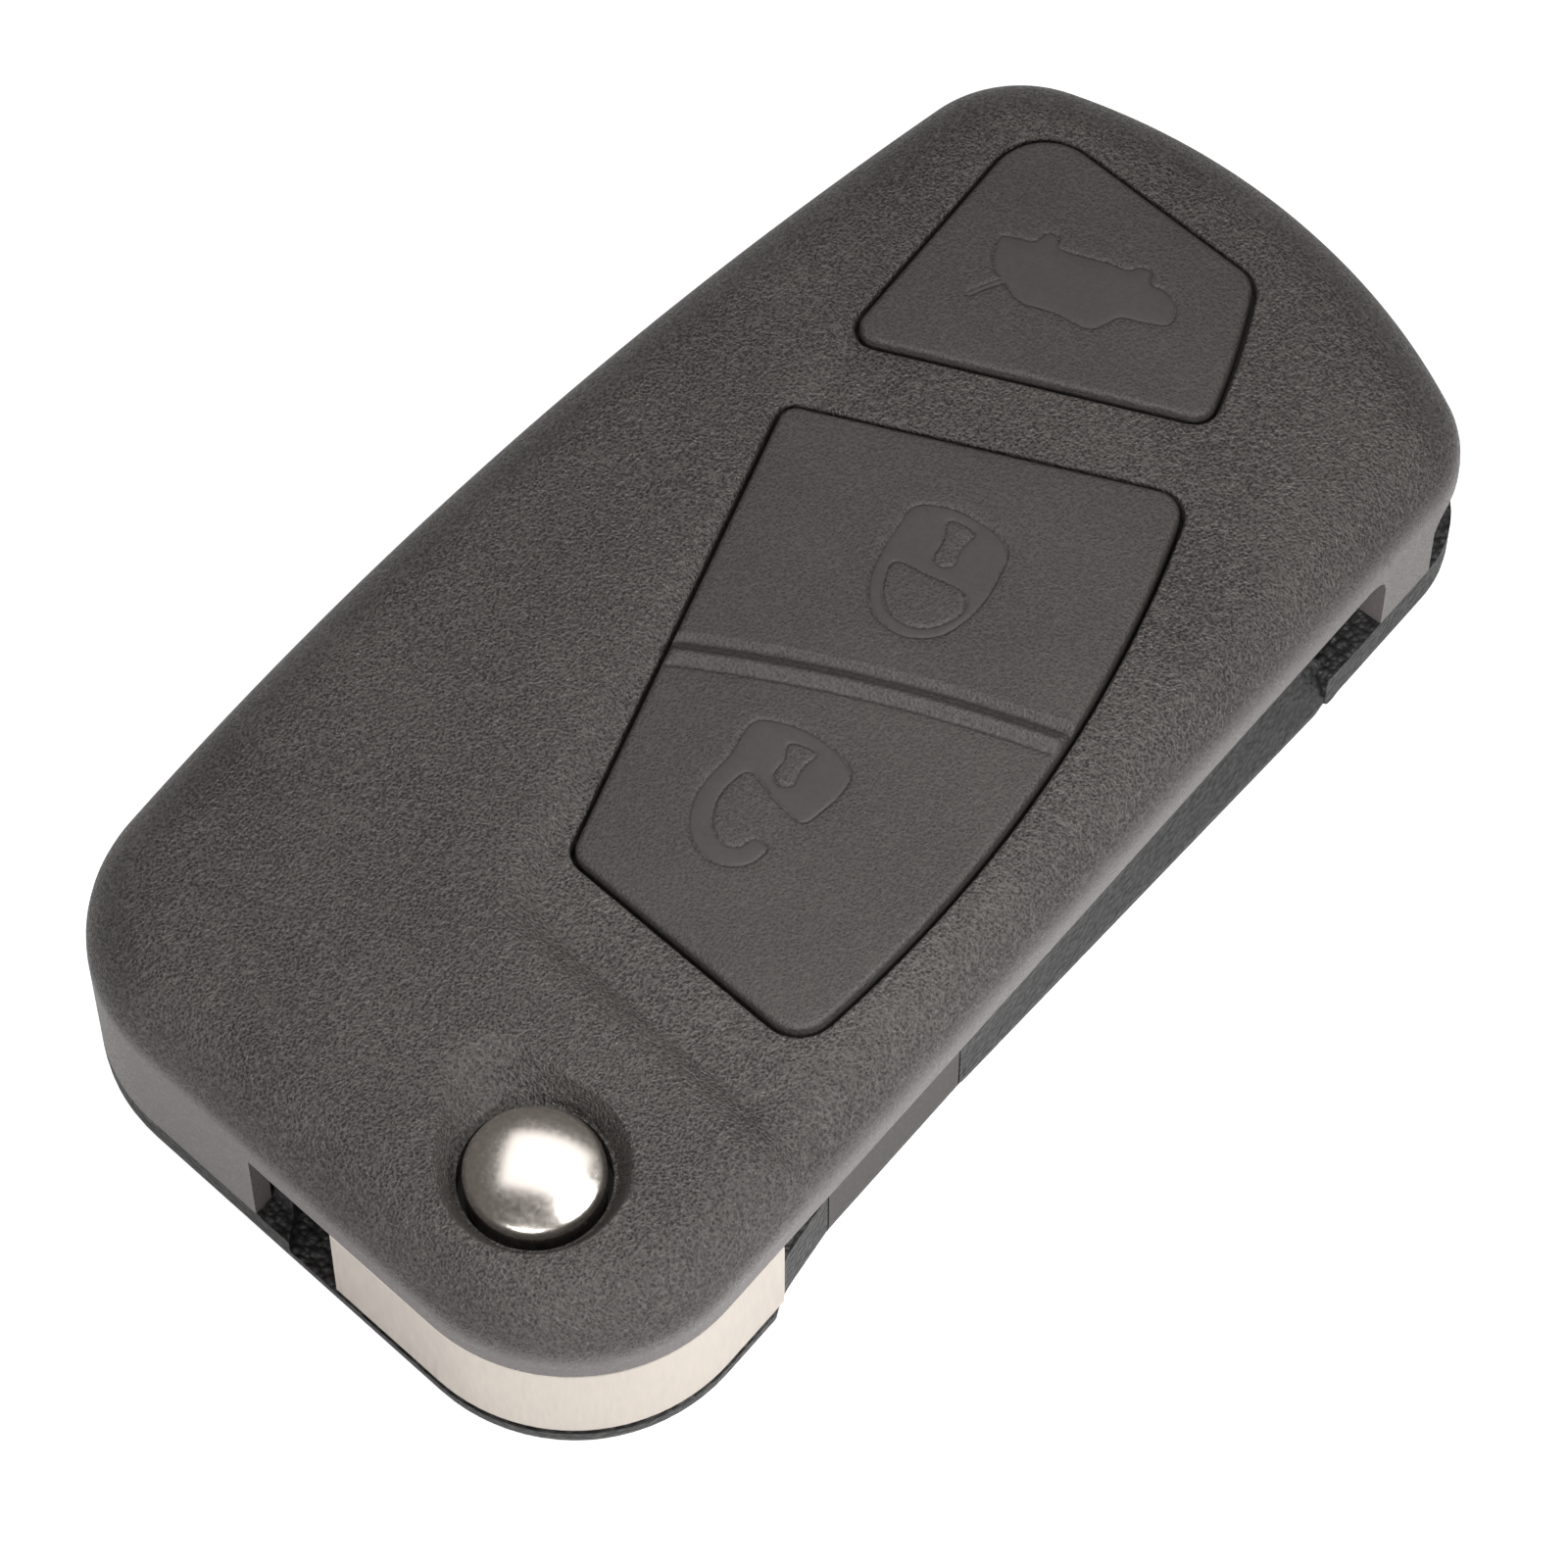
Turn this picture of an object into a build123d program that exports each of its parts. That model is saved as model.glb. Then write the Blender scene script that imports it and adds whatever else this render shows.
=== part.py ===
"""Flip key remote shell: an empty two-part case with a folding key blade.

Lengths are in millimetres. The key lies on its back with the buttons up:
+X points to the side where the blade folds away, +Y runs along the key away
from the hub, and +Z is up. The origin is on the resting face, under the middle
of the case.
"""
import os
from math import atan, degrees, radians, sin, tan

from build123d import *

# Case: overall size, and its storeys from the resting face up
BODY_LENGTH = 77.6
BODY_WIDTH = 40.4
LOWER_HEIGHT = 4.4
HUB_SPACE = 6.2
CAP_HEIGHT = 4.4
PLATEAU_RISE = 1.1
HALF_LENGTH = BODY_LENGTH / 2
HALF_WIDTH = BODY_WIDTH / 2
PARTING_Z = LOWER_HEIGHT
LIP_Z = PARTING_Z + HUB_SPACE
PANEL_Z = LIP_Z + CAP_HEIGHT
PLATEAU_Z = PANEL_Z + PLATEAU_RISE

# Case: plan outline. Corners before rounding, measured from the sides of the overall box
KEYRING_CORNER = (HALF_WIDTH, HALF_LENGTH - 6.1)
FAR_CORNER = (-HALF_WIDTH + 5.5, HALF_LENGTH - 3.2)
HEEL_CORNER = (-HALF_WIDTH + 1.0, -HALF_LENGTH + 2.0)
HUB_CORNER = (HALF_WIDTH, -HALF_LENGTH - 0.8)
KEYRING_CORNER_R = 6.0
FAR_CORNER_R = 7.5
HEEL_CORNER_R = 9.5
HUB_CORNER_R = 10.0
FAR_SIDE_R = 36.0
LEFT_SIDE_R = 240.0
TOP_EDGE_R = 3.8
BOTTOM_EDGE_R = 3.2

# Case: walls and fits
FLOOR = 1.5
ROOF = 1.3
LOWER_WALL = 2.0
SKIRT_WALL = 1.2
CAP_WALL = 2.2
RIB_WALL = 1.0
CAVITY_EDGE_R = 1.0
TRAY_EDGE_R = 1.6
TONGUE_WALL = 0.7
TONGUE_RISE = 1.2
TONGUE_END_GAP = 1.5
FIT_GAP = 0.1
SEAT_GAP = 0.03
BEARING_GAP = 0.05
ROOF_UNDER_Z = PANEL_Z - ROOF
WALL_TOP_Z = LIP_Z - FIT_GAP

# Case: raised area of the cap. Its edge at panel level runs from the right side to the far end.
# Distances are from the hub end, or with FAR in their name from the far end.
CREASE_RIGHT_REACH = 17.0
CREASE_CORNER_REACH = 18.8
CREASE_CORNER_X = -0.3
CREASE_FAR_X = -11.0
CREASE_FAR_OVER = 6.2
CREASE_CORNER_R = 4.0
CREASE_SIDE_R = 220.0
CREASE_SLOPE = 60.0
PLATEAU_FAR_INSET = 9.8
CREASE_RIGHT = (HALF_WIDTH, -HALF_LENGTH + CREASE_RIGHT_REACH)
CREASE_CORNER = (CREASE_CORNER_X, -HALF_LENGTH + CREASE_CORNER_REACH)
CREASE_FAR = (CREASE_FAR_X, HALF_LENGTH + CREASE_FAR_OVER)
PLATEAU_END_Y = HALF_LENGTH - PLATEAU_FAR_INSET

# Case: key ring passage round a post at the far right corner
RING_NEAR_INSET = 18.3
RING_POST_INSET = 13.7
RING_POST_WIDTH = 4.2
RING_POST_WALL = 1.9
RING_WIDTH = 4.6
RING_FLOOR = 1.0
RING_WALL = 1.0
RING_NEAR_Y = HALF_LENGTH - RING_NEAR_INSET
RING_POST_Y = (HALF_LENGTH - RING_POST_INSET, HALF_LENGTH - RING_POST_INSET + RING_POST_WIDTH)
RING_WALL_X = HALF_WIDTH - RING_POST_WALL - RING_WIDTH
RING_FLOOR_Z = PARTING_Z + RING_FLOOR

# Blade, folded against the right side in a slot under the cap
BLADE_WIDTH = 7.6
BLADE_THICKNESS = 2.4
BLADE_FLOOR_GAP = 0.4
BLADE_ROOF_GAP = 0.8
BLADE_SIDE_GAP = 0.9
BLADE_TIP_GAP = 0.7
BLADE_TIP = 4.0
BLADE_TIP_FLAT = 2.0
NECK_WIDTH = 4.2
NECK_LENGTH = 3.0
NECK_INSET = 0.2
TANG_WIDTH = 3.6
TANG_DEPTH = 6.0
GROOVE_WIDTH = 2.4
GROOVE_DEPTH = 0.45
GROOVE_START = 5.0
BLADE_Z = LIP_Z - BLADE_ROOF_GAP - BLADE_THICKNESS
SLOT_FLOOR_Z = BLADE_Z - BLADE_FLOOR_GAP

# Lower shell: its right side is set back under the folded blade
SIDE_RECESS = 1.1
RECESS_REACH = 19.2
RECESS_RAMP = 8.6
RECESS_BLEND_R = 6.0
RECESS_START_Y = -HALF_LENGTH + RECESS_REACH
SIDE_X = HALF_WIDTH - SIDE_RECESS
SIDE_IN_X = SIDE_X - LOWER_WALL
BLADE_X = SIDE_X - BLADE_WIDTH / 2
CHANNEL_X = SIDE_X - BLADE_WIDTH - BLADE_SIDE_GAP
NECK_RIGHT_X = SIDE_X - NECK_INSET

# Hub, turned about an upright pivot between the two shells
PIVOT_X = HALF_WIDTH - 10.8
PIVOT_Y = -HALF_LENGTH + 8.1
PIVOT = (PIVOT_X, PIVOT_Y)
HUB_SIDE_GAP = 0.05
HUB_END_GAP = 0.15
HUB_ROUND_R = 7.5
HUB_DISC_R = 10.4
HUB_SWEEP_GAP = 0.2
HUB_BLADE_FACE = 6.3
HUB_EDGE_R = 0.25
HUB_SKIRT = 1.05
HUB_SKIRT_GAP = 0.15
SPIGOT_R = 6.9
SPIGOT_HEIGHT = 1.75
PILLAR_WALL = 3.9
BOSS_R = 5.9
BORE_R = 5.0
SOCKET_WALL = 1.1
SOCKET_FLOOR = 0.55
CHAMBER_R = 12.8
CHAMBER_WALL = 1.1
CHAMBER_RIBS = 6
RIB_START = 20.0
RIB_DROP = 0.3
NOTCH_REACH = 12.8
SLOT_NEAR_GAP = 0.4
WASHER_THICKNESS = 0.4
WASHER_STAND = 0.1
WASHER_INSET = 0.4
PIN_R = 0.8
PIN_BORE_R = 0.36
PIN_PLACE = (7.7, 2.2)
PIN_FOOT = 0.4
HUB_FLOOR_Z = PARTING_Z + HUB_END_GAP
HUB_FOOT_Z = HUB_FLOOR_Z - HUB_SKIRT
HUB_TOP_Z = LIP_Z - HUB_END_GAP
SPIGOT_TOP_Z = HUB_TOP_Z + SPIGOT_HEIGHT
BEARING_TOP_Z = SPIGOT_TOP_Z + HUB_END_GAP
PILLAR_R = SPIGOT_R + PILLAR_WALL
SOCKET_Z = FLOOR + SOCKET_FLOOR
WASHER_Z = PARTING_Z + WASHER_STAND - WASHER_THICKNESS
WASHER_R = BOSS_R + SOCKET_WALL - WASHER_INSET
HUB_SKIRT_R = BOSS_R + SOCKET_WALL + HUB_SKIRT_GAP
HUB_SWEEP_R = HUB_DISC_R + HUB_SWEEP_GAP
BLADE_ROOT_Y = PIVOT_Y + HUB_BLADE_FACE
BLADE_TIP_Y = RING_NEAR_Y - RIB_WALL - BLADE_TIP_GAP
SLOT_NEAR_Y = BLADE_ROOT_Y + SLOT_NEAR_GAP
PIN = (PIVOT_X + PIN_PLACE[0], PIVOT_Y + PIN_PLACE[1])

# Release button: a metal dome on a plunger that locks the hub, in a teardrop dimple
DOME_R = 3.6
DOME_RISE = 1.25
DOME_PROUD = 0.1
DOME_SKIRT = 1.6
DOME_ROOF = 0.2
DOME_HOLE_GAP = 0.32
DOME_RIM_R = 0.4
DIMPLE_R = 4.95
DIMPLE_TOE_R = 4.1
DIMPLE_DEPTH = 1.9
DIMPLE_APEX = (-4.35, 2.15)
DIMPLE_APEX_R = 2.75
DIMPLE_TOE_APEX = (-3.2, 1.6)
DIMPLE_TOE_APEX_R = 1.3
PLUNGER_FLANGE = 1.3
PLUNGER_SKIRT = 1.7
PLUNGER_GAP = 0.1
PLUNGER_TOP_GAP = 0.2
PLUNGER_NECK_R = 2.2
LUG_REACH = 0.95
LUG_WIDTH = 2.4
RELEASE_TRAVEL = 1.6
DOME_TOP_Z = PLATEAU_Z + DOME_PROUD
DOME_FOOT_Z = DOME_TOP_Z - DOME_RISE - DOME_SKIRT
NECK_TOP_Z = DOME_TOP_Z - DOME_RISE - DOME_ROOF
DIMPLE_FLOOR_Z = PLATEAU_Z - DIMPLE_DEPTH
PLUNGER_R = BORE_R - PLUNGER_GAP
FLANGE_TOP_Z = BEARING_TOP_Z - PLUNGER_TOP_GAP
LUG_Z = FLANGE_TOP_Z - PLUNGER_FLANGE - PLUNGER_SKIRT

# Hub spring and its seat
SPRING_WIRE_R = 0.36
SPRING_TURNS = 5
SPRING_INSET = 0.95
SEAT_R = 4.7
SEAT_BORE_R = 1.5
SEAT_FLANGE = 0.6
SEAT_SPIGOT = 0.7
SEAT_CLEAR = 0.25
SPRING_R = PLUNGER_R - SPRING_INSET
SPRING_SEAT_Z = SOCKET_Z + SEAT_FLANGE
HUB_BOSS_Z = SPRING_SEAT_Z + SEAT_CLEAR

# Buttons in plan: corners as x, y and corner radius. The boot button's are set back from the far end.
ROCKER_PAD = [(-8.9, 11.0, 0.9), (-0.5, -16.2, 1.1), (15.1, -17.1, 2.0), (10.7, 19.9, 1.4)]
ROCKER_SIDE_R = 75.0
BOOT_INSETS = [(-9.1, 22.5, 1.0), (8.7, 14.6, 1.1), (5.3, 6.2, 1.6), (-9.9, 5.6, 3.2)]
BOOT_PAD = [(x, HALF_LENGTH - inset, radius) for x, inset, radius in BOOT_INSETS]
BOOT_SIDE_R = 40.0

# Buttons: sections and travel
PAD_RISE = 0.35
PAD_GAP = 0.27
PAD_EDGE_R = 0.3
PAD_TOP = 1.3
PAD_WALL = 1.1
FLANGE_REACH = 0.8
FLANGE = 0.65
BOOT_TRAVEL = 0.5
ROCK_LINE = ((-4.3, -4.4), (14.8, 4.3))
ROCK_ANGLE = 1.5
ROCK_REACH = 19.1
BEAD_WIDTH = 0.9
BEAD_RISE = 0.28
BEAD_ROOT = 1.0
BEAD_GROOVE = 0.6
BEAD_ARC_R = 82.0
PAD_TOP_Z = PANEL_Z + PAD_RISE
BOOT_FLANGE_Z = ROOF_UNDER_Z - FIT_GAP - FLANGE
ROCK_DROP = ROCK_REACH * sin(radians(ROCK_ANGLE))
ROCKER_FLANGE_Z = ROOF_UNDER_Z - FIT_GAP - ROCK_DROP - FLANGE

# Keypad: a plate and a rubber sheet under the buttons, held on posts
LAYER_GAP = 0.05
MEMBRANE = 0.55
MEMBRANE_INSET = 8.6
MEMBRANE_NEAR = -18.0
RETAINER = 0.55
RETAINER_INSET = 4.7
RETAINER_NEAR = -19.5
BOOT_PIP_INSET = 12.3
ROCKER_PIPS = [(3.0, 9.5), (7.2, -8.5)]
PIP_R = 2.4
PIP_STEM_R = 1.2
PIP_STEM = 0.3
POST_R = 1.3
PEG_R = 0.75
PEGS = [(-8.0, -13.5)]
RETAINER_SCREW_INSET = 7.0
RETAINER_SCREW_Y = 8.0
RETAINER_SCREW_R = 0.6
RETAINER_SCREW_LENGTH = 2.2
RETAINER_HEAD_R = 1.2
RETAINER_HEAD = 0.6
MEMBRANE_LEFT = -HALF_WIDTH + MEMBRANE_INSET
RETAINER_LEFT = -HALF_WIDTH + RETAINER_INSET
RETAINER_SCREW = (-HALF_WIDTH + RETAINER_SCREW_INSET, RETAINER_SCREW_Y)
POSTS = [RETAINER_SCREW, *PEGS]
RETAINER_Z = LIP_Z + LAYER_GAP
MEMBRANE_Z = RETAINER_Z + RETAINER + LAYER_GAP
MEMBRANE_TOP_Z = MEMBRANE_Z + MEMBRANE
BOOT_PIP_Z = PAD_TOP_Z - PAD_TOP - BOOT_TRAVEL - LAYER_GAP
ROCKER_PIP_Z = PAD_TOP_Z - PAD_TOP - ROCK_DROP - LAYER_GAP
BOOT_PIP = (-1.4, HALF_LENGTH - BOOT_PIP_INSET)
PIPS = [(BOOT_PIP, BOOT_PIP_Z), *[(place, ROCKER_PIP_Z) for place in ROCKER_PIPS]]

# Battery cover, on the back and up the right side, with its hook and its rubber ring
BATTERY_X = -4.5
BATTERY_Y = -9.5
BATTERY = (BATTERY_X, BATTERY_Y)
BATTERY_R = 10.3
COVER_R = 11.6
COVER_ARM_WIDTH = 10.5
COVER_ARM_Y = (BATTERY_Y + 0.4 - COVER_ARM_WIDTH, BATTERY_Y + 0.4)
COVER_GAP = 0.12
LEDGE = 1.0
BATTERY_WALL = 3.7
HOOK_WIDTH = 5.0
HOOK_REACH = 1.4
HOOK_ROOT = (0.4, 1.6)
HOOK_THICKNESS = 0.8
NICK_WIDTH = 3.0
NICK_DEPTH = 0.8
NICK_HEIGHT = 0.9
SEAL_WIDTH = 0.7
SEAL_THICKNESS = 0.5
SEAL_INSET = 0.2
BATTERY_WALL_Z = FLOOR + BATTERY_WALL
SEAL_R = BATTERY_R + SEAL_WIDTH + SEAL_INSET

# Screws that close the case, driven up from the back. Their cross is a share of the head radius
SCREW_INSETS = (9.1, 8.6)
SCREW_PLACES = {
    "hub_end": (-10.5, -HALF_LENGTH + SCREW_INSETS[0]),
    "ring_end": (10.2, HALF_LENGTH - SCREW_INSETS[1]),
}
SCREW_HEAD_R = 1.7
SCREW_HEAD = 1.1
SCREW_SINK = 0.5
SCREW_SHANK_R = 0.75
SCREW_LENGTH = 9.5
SCREW_CROSS = (1.3, 0.32)
SCREW_GAP = 0.05
SCREW_HOLE_GAP = 0.15
LOWER_BOSS_WALL = 1.8
UPPER_BOSS_WALL = 1.5
BOSS_MEET = 1.6
LOWER_BOSS_R = SCREW_SHANK_R + LOWER_BOSS_WALL
UPPER_BOSS_R = SCREW_SHANK_R + UPPER_BOSS_WALL
BOSS_MEET_Z = PARTING_Z + BOSS_MEET
SCREW_SEAT_Z = SCREW_SINK + SCREW_HEAD
SCREW_TIP_Z = SCREW_SEAT_Z + SCREW_LENGTH

# Board tray, which rests on the battery wall
TRAY_FLOOR = 0.9
TRAY_WALL = 0.9
TRAY_HEIGHT = 4.6
TRAY_INSET = 3.2
TRAY_NEAR_Y = BATTERY_Y - 9.0
TRAY_WINDOW_R = 8.0
TRAY_GAP = 0.2
TRAY_Z = BATTERY_WALL_Z + LAYER_GAP

# Reach of the blocks that cut, and how far a cut runs past its face
ABOVE = 30.0
WIDE = 200.0
EXTRA = 1.0


def outline(corners):
    """Face with corners (x, y, corner radius, radius of the side to the next corner)."""
    sides = []
    for here, there in zip(corners, corners[1:] + corners[:1]):
        if here[3]:
            sides.append(RadiusArc(here[:2], there[:2], -here[3]))
        else:
            sides.append(Line(here[:2], there[:2]))
    face = make_face(sides)
    for x, y, radius, _ in corners:
        if radius:
            corner = face.vertices().sort_by_distance((x, y, 0))[0]
            face = fillet(corner, radius)
    return face


def body_outline(inset=0.0):
    face = outline([
        (*KEYRING_CORNER, KEYRING_CORNER_R, FAR_SIDE_R),
        (*FAR_CORNER, FAR_CORNER_R, LEFT_SIDE_R),
        (*HEEL_CORNER, HEEL_CORNER_R, 0),
        (*HUB_CORNER, HUB_CORNER_R, 0),
    ])
    return offset(face, -inset) if inset else face


def lower_outline(inset=0.0):
    """The case outline, set back on the right where the blade folds."""
    ramp_y = RECESS_START_Y - RECESS_RAMP
    far_x = HALF_WIDTH + BODY_WIDTH
    recess = outline([
        (HALF_WIDTH, ramp_y, RECESS_BLEND_R, 0),
        (far_x, ramp_y, 0, 0),
        (far_x, RING_NEAR_Y, 0, 0),
        (SIDE_X, RING_NEAR_Y, 0.5, 0),
        (SIDE_X, RECESS_START_Y, RECESS_BLEND_R, 0),
    ])
    face = body_outline() - recess
    return offset(face, -inset) if inset else face


def block(x, y, z):
    """Box between two values on each axis."""
    size = (x[1] - x[0], y[1] - y[0], z[1] - z[0])
    return Pos(x[0], y[0], z[0]) * Box(*size, align=(Align.MIN, Align.MIN, Align.MIN))


def prism(face, low, high):
    return Pos(0, 0, low) * extrude(face, high - low)


def tube(centre, radius, low, high, bore=0.0):
    face = Circle(radius) - Circle(bore) if bore else Circle(radius)
    return Pos(*centre, 0) * prism(face, low, high)


def ring(inner, outer, low, high):
    return prism(outer - inner, low, high)


def polygon(points):
    return make_face([Line(a, b) for a, b in zip(points, points[1:] + points[:1])])


def pad_outline(corners, side_r, curved, grow):
    """Button outline with one curved side, grown all round by the given amount."""
    face = outline([(*corner, side_r if i == curved else 0) for i, corner in enumerate(corners)])
    return offset(face, grow) if grow else face


def boot_outline(grow=0.0):
    return pad_outline(BOOT_PAD, BOOT_SIDE_R, 1, grow)


def rocker_outline(grow=0.0):
    return pad_outline(ROCKER_PAD, ROCKER_SIDE_R, 2, grow)


def flat_edges(shape, z, tolerance=0.01):
    """Edges that lie flat at one height."""
    def is_flat(edge):
        box = edge.bounding_box()
        return abs(box.min.Z - z) < tolerance and abs(box.max.Z - z) < tolerance
    return ShapeList([edge for edge in shape.edges() if is_flat(edge)])


def cap_blank():
    """Outside of the cap: the low button panel, and the raised area round two sides of it."""
    low = prism(body_outline(), LIP_Z, PANEL_Z)
    low = fillet(flat_edges(low, PANEL_Z), TOP_EDGE_R)
    lean = Plane(origin=(0, PLATEAU_END_Y, PANEL_Z),
                 z_dir=(0, PLATEAU_RISE, PLATEAU_END_Y + HALF_LENGTH))
    high = split(prism(body_outline(), LIP_Z, PLATEAU_Z + EXTRA), bisect_by=lean, keep=Keep.BOTTOM)
    high = fillet(high.faces().sort_by(Axis.Z)[-1].edges(), TOP_EDGE_R)
    fall = (CREASE_CORNER[1] - CREASE_RIGHT[1]) / (CREASE_RIGHT[0] - CREASE_CORNER[0])
    raised = outline([
        (WIDE, CREASE_CORNER[1] - fall * (WIDE - CREASE_CORNER[0]), 0, 0),
        (*CREASE_CORNER, CREASE_CORNER_R, -CREASE_SIDE_R),
        (*CREASE_FAR, 0, 0),
        (-WIDE, CREASE_FAR[1], 0, 0),
        (-WIDE, -WIDE, 0, 0),
        (WIDE, -WIDE, 0, 0),
    ])
    slope = Pos(0, 0, PANEL_Z) * extrude(raised, PLATEAU_RISE + EXTRA / 2, taper=CREASE_SLOPE)
    spread = (PANEL_Z - LIP_Z) * tan(radians(CREASE_SLOPE))
    side = Plane.YZ * polygon([(-WIDE, LIP_Z), (spread, LIP_Z), (0, PANEL_Z), (-WIDE, PANEL_Z)])
    side = extrude(side, WIDE / 2, both=True)
    side &= block((-BODY_WIDTH / 4, WIDE), (-WIDE, WIDE), (0, ABOVE))
    side = Pos(*CREASE_RIGHT, 0) * Rot(0, 0, -degrees(atan(fall))) * side
    return low + (high & (slope + prism(raised, LIP_Z, PANEL_Z) + side))


def dimple():
    """Teardrop hollow round the release button: wide at the surface, narrower at its floor."""
    def teardrop(radius, apex, apex_radius):
        tip = Pos(*apex) * Circle(apex_radius)
        return Pos(*PIVOT) * make_hull([Circle(radius).edge(), tip.edge()])
    floor_face = teardrop(DIMPLE_TOE_R, DIMPLE_TOE_APEX, DIMPLE_TOE_APEX_R)
    floor_face = Pos(0, 0, DIMPLE_FLOOR_Z) * floor_face
    mouth = Pos(0, 0, DIMPLE_FLOOR_Z + DIMPLE_DEPTH) * teardrop(DIMPLE_R, DIMPLE_APEX, DIMPLE_APEX_R)
    return loft([floor_face, mouth])


def beside_hub(low, high):
    """Block on the hub's side of the case, for what stays solid under the cap."""
    return block((PIVOT_X, WIDE), (-WIDE, PIVOT_Y + PILLAR_R), (low, high))


def ring_corner(low, high, clear=0.0):
    """Block over the key ring passage at the far right corner."""
    return block((RING_WALL_X - RING_WALL - clear, WIDE),
                 (RING_NEAR_Y - RING_WALL - clear, WIDE), (low, high))


def keypad_bay(inset, left, near):
    """Plan of the space under the buttons, for the layers that fill it."""
    face = body_outline(CAP_WALL + inset) & make_face(
        Rectangle(WIDE, WIDE, align=(Align.MIN, Align.MIN)).moved(Location((left, near, 0))).edges())
    corner_x = RING_WALL_X - RING_WALL - inset
    corner_y = RING_NEAR_Y - RING_WALL - inset
    face -= Pos(corner_x, corner_y) * Rectangle(WIDE, WIDE, align=(Align.MIN, Align.MIN))
    face -= Pos(*PIVOT) * Circle(PILLAR_R + inset)
    face -= Pos(PIVOT_X, PIVOT_Y + PILLAR_R + inset) * Rectangle(
        WIDE, WIDE, align=(Align.MIN, Align.MAX))
    for place in SCREW_PLACES.values():
        face -= Pos(*place) * Circle(UPPER_BOSS_R + inset)
    return face


def upper_shell():
    shell = cap_blank()
    cavity = prism(body_outline(CAP_WALL), LIP_Z, ROOF_UNDER_Z)
    cavity = fillet(flat_edges(cavity, ROOF_UNDER_Z), CAVITY_EDGE_R)
    cavity -= tube(PIVOT, PILLAR_R, 0, ABOVE) + beside_hub(0, ABOVE) + ring_corner(0, ABOVE)
    shell -= cavity

    skirt = ring(body_outline(SKIRT_WALL), body_outline(), PARTING_Z, LIP_Z)
    skirt -= block((PIVOT_X - NOTCH_REACH, WIDE), (-WIDE, 0), (0, ABOVE))
    skirt -= block((RING_WALL_X - RING_WALL, WIDE), (-WIDE, WIDE), (0, ABOVE))
    post = ring(body_outline(RING_POST_WALL), body_outline(), RING_FLOOR_Z, LIP_Z)
    post &= block((0, WIDE), RING_POST_Y, (0, ABOVE))
    shell += skirt + post

    for place in SCREW_PLACES.values():
        shell += tube(place, UPPER_BOSS_R, BOSS_MEET_Z, ROOF_UNDER_Z)
        shell -= tube(place, SCREW_SHANK_R + SCREW_GAP, 0, SCREW_TIP_Z + SCREW_GAP)
    for place in POSTS:
        shell += tube(place, POST_R, MEMBRANE_Z, ROOF_UNDER_Z)
    for place in PEGS:
        shell += tube(place, PEG_R, RETAINER_Z, MEMBRANE_Z)
    shell -= tube(RETAINER_SCREW, RETAINER_SCREW_R + SCREW_GAP, 0, ROOF_UNDER_Z)

    for hole in (boot_outline(PAD_GAP), rocker_outline(PAD_GAP)):
        shell -= prism(hole, ROOF_UNDER_Z - EXTRA, ABOVE)
    shell -= dimple()
    shell -= tube(PIVOT, SPIGOT_R + BEARING_GAP, 0, BEARING_TOP_Z)
    shell -= tube(PIVOT, DOME_R + DOME_HOLE_GAP, 0, ABOVE)
    return shell


def side_band(near_y, far_y, high):
    """The lower shell's wall on the right, up to the floor of the blade slot."""
    band = ring(lower_outline(LOWER_WALL), lower_outline(), PARTING_Z, high)
    return band & block((SIDE_IN_X - EXTRA, WIDE), (near_y, far_y), (0, ABOVE))


def lower_skin():
    """The lower shell's tray, before its ribs and openings."""
    blank = prism(lower_outline(), 0, PARTING_Z)
    blank = fillet(flat_edges(blank, 0), BOTTOM_EDGE_R)
    cavity = prism(lower_outline(LOWER_WALL), FLOOR, PARTING_Z)
    cavity = fillet(flat_edges(cavity, FLOOR), TRAY_EDGE_R)
    return blank - cavity + side_band(SLOT_NEAR_Y, RING_NEAR_Y, SLOT_FLOOR_Z)


def cover_plan(clear=0.0):
    """The battery cover seen from below: a disc with an arm to the right side."""
    arm = Pos(BATTERY_X, COVER_ARM_Y[0] - clear) * Rectangle(
        WIDE, COVER_ARM_WIDTH + 2 * clear, align=(Align.MIN, Align.MIN))
    return Pos(*BATTERY) * Circle(COVER_R + clear) + arm


def chamber_wall():
    """Curved wall round the space in which the hub turns."""
    wall = tube(PIVOT, CHAMBER_R + CHAMBER_WALL, FLOOR, WALL_TOP_Z, bore=CHAMBER_R)
    wall &= prism(body_outline(SKIRT_WALL + FIT_GAP), 0, ABOVE)
    return wall & block((-WIDE, CHANNEL_X), (-WIDE, WIDE), (0, ABOVE))


def bearing_ribs():
    ribs = Part()
    for i in range(CHAMBER_RIBS):
        rib = block((BOSS_R + SOCKET_WALL / 2, CHAMBER_R + CHAMBER_WALL / 2), (-RIB_WALL / 2, RIB_WALL / 2),
                    (FLOOR, PARTING_Z - RIB_DROP))
        ribs += Pos(*PIVOT, 0) * Rot(0, 0, RIB_START + 360 / CHAMBER_RIBS * i) * rib
    return ribs


def hub_sweep(low):
    """Space round the socket that the hub passes through, which leaves a low rim under it."""
    face = Circle(CHAMBER_R)
    face &= Pos(0, SLOT_NEAR_Y - PIVOT_Y) * Rectangle(WIDE, WIDE, align=(Align.CENTER, Align.MAX))
    face += Circle(HUB_SWEEP_R)
    face -= Circle(HUB_SKIRT_R - HUB_SKIRT_GAP / 2)
    return Pos(*PIVOT, 0) * prism(face, low, ABOVE)


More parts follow.
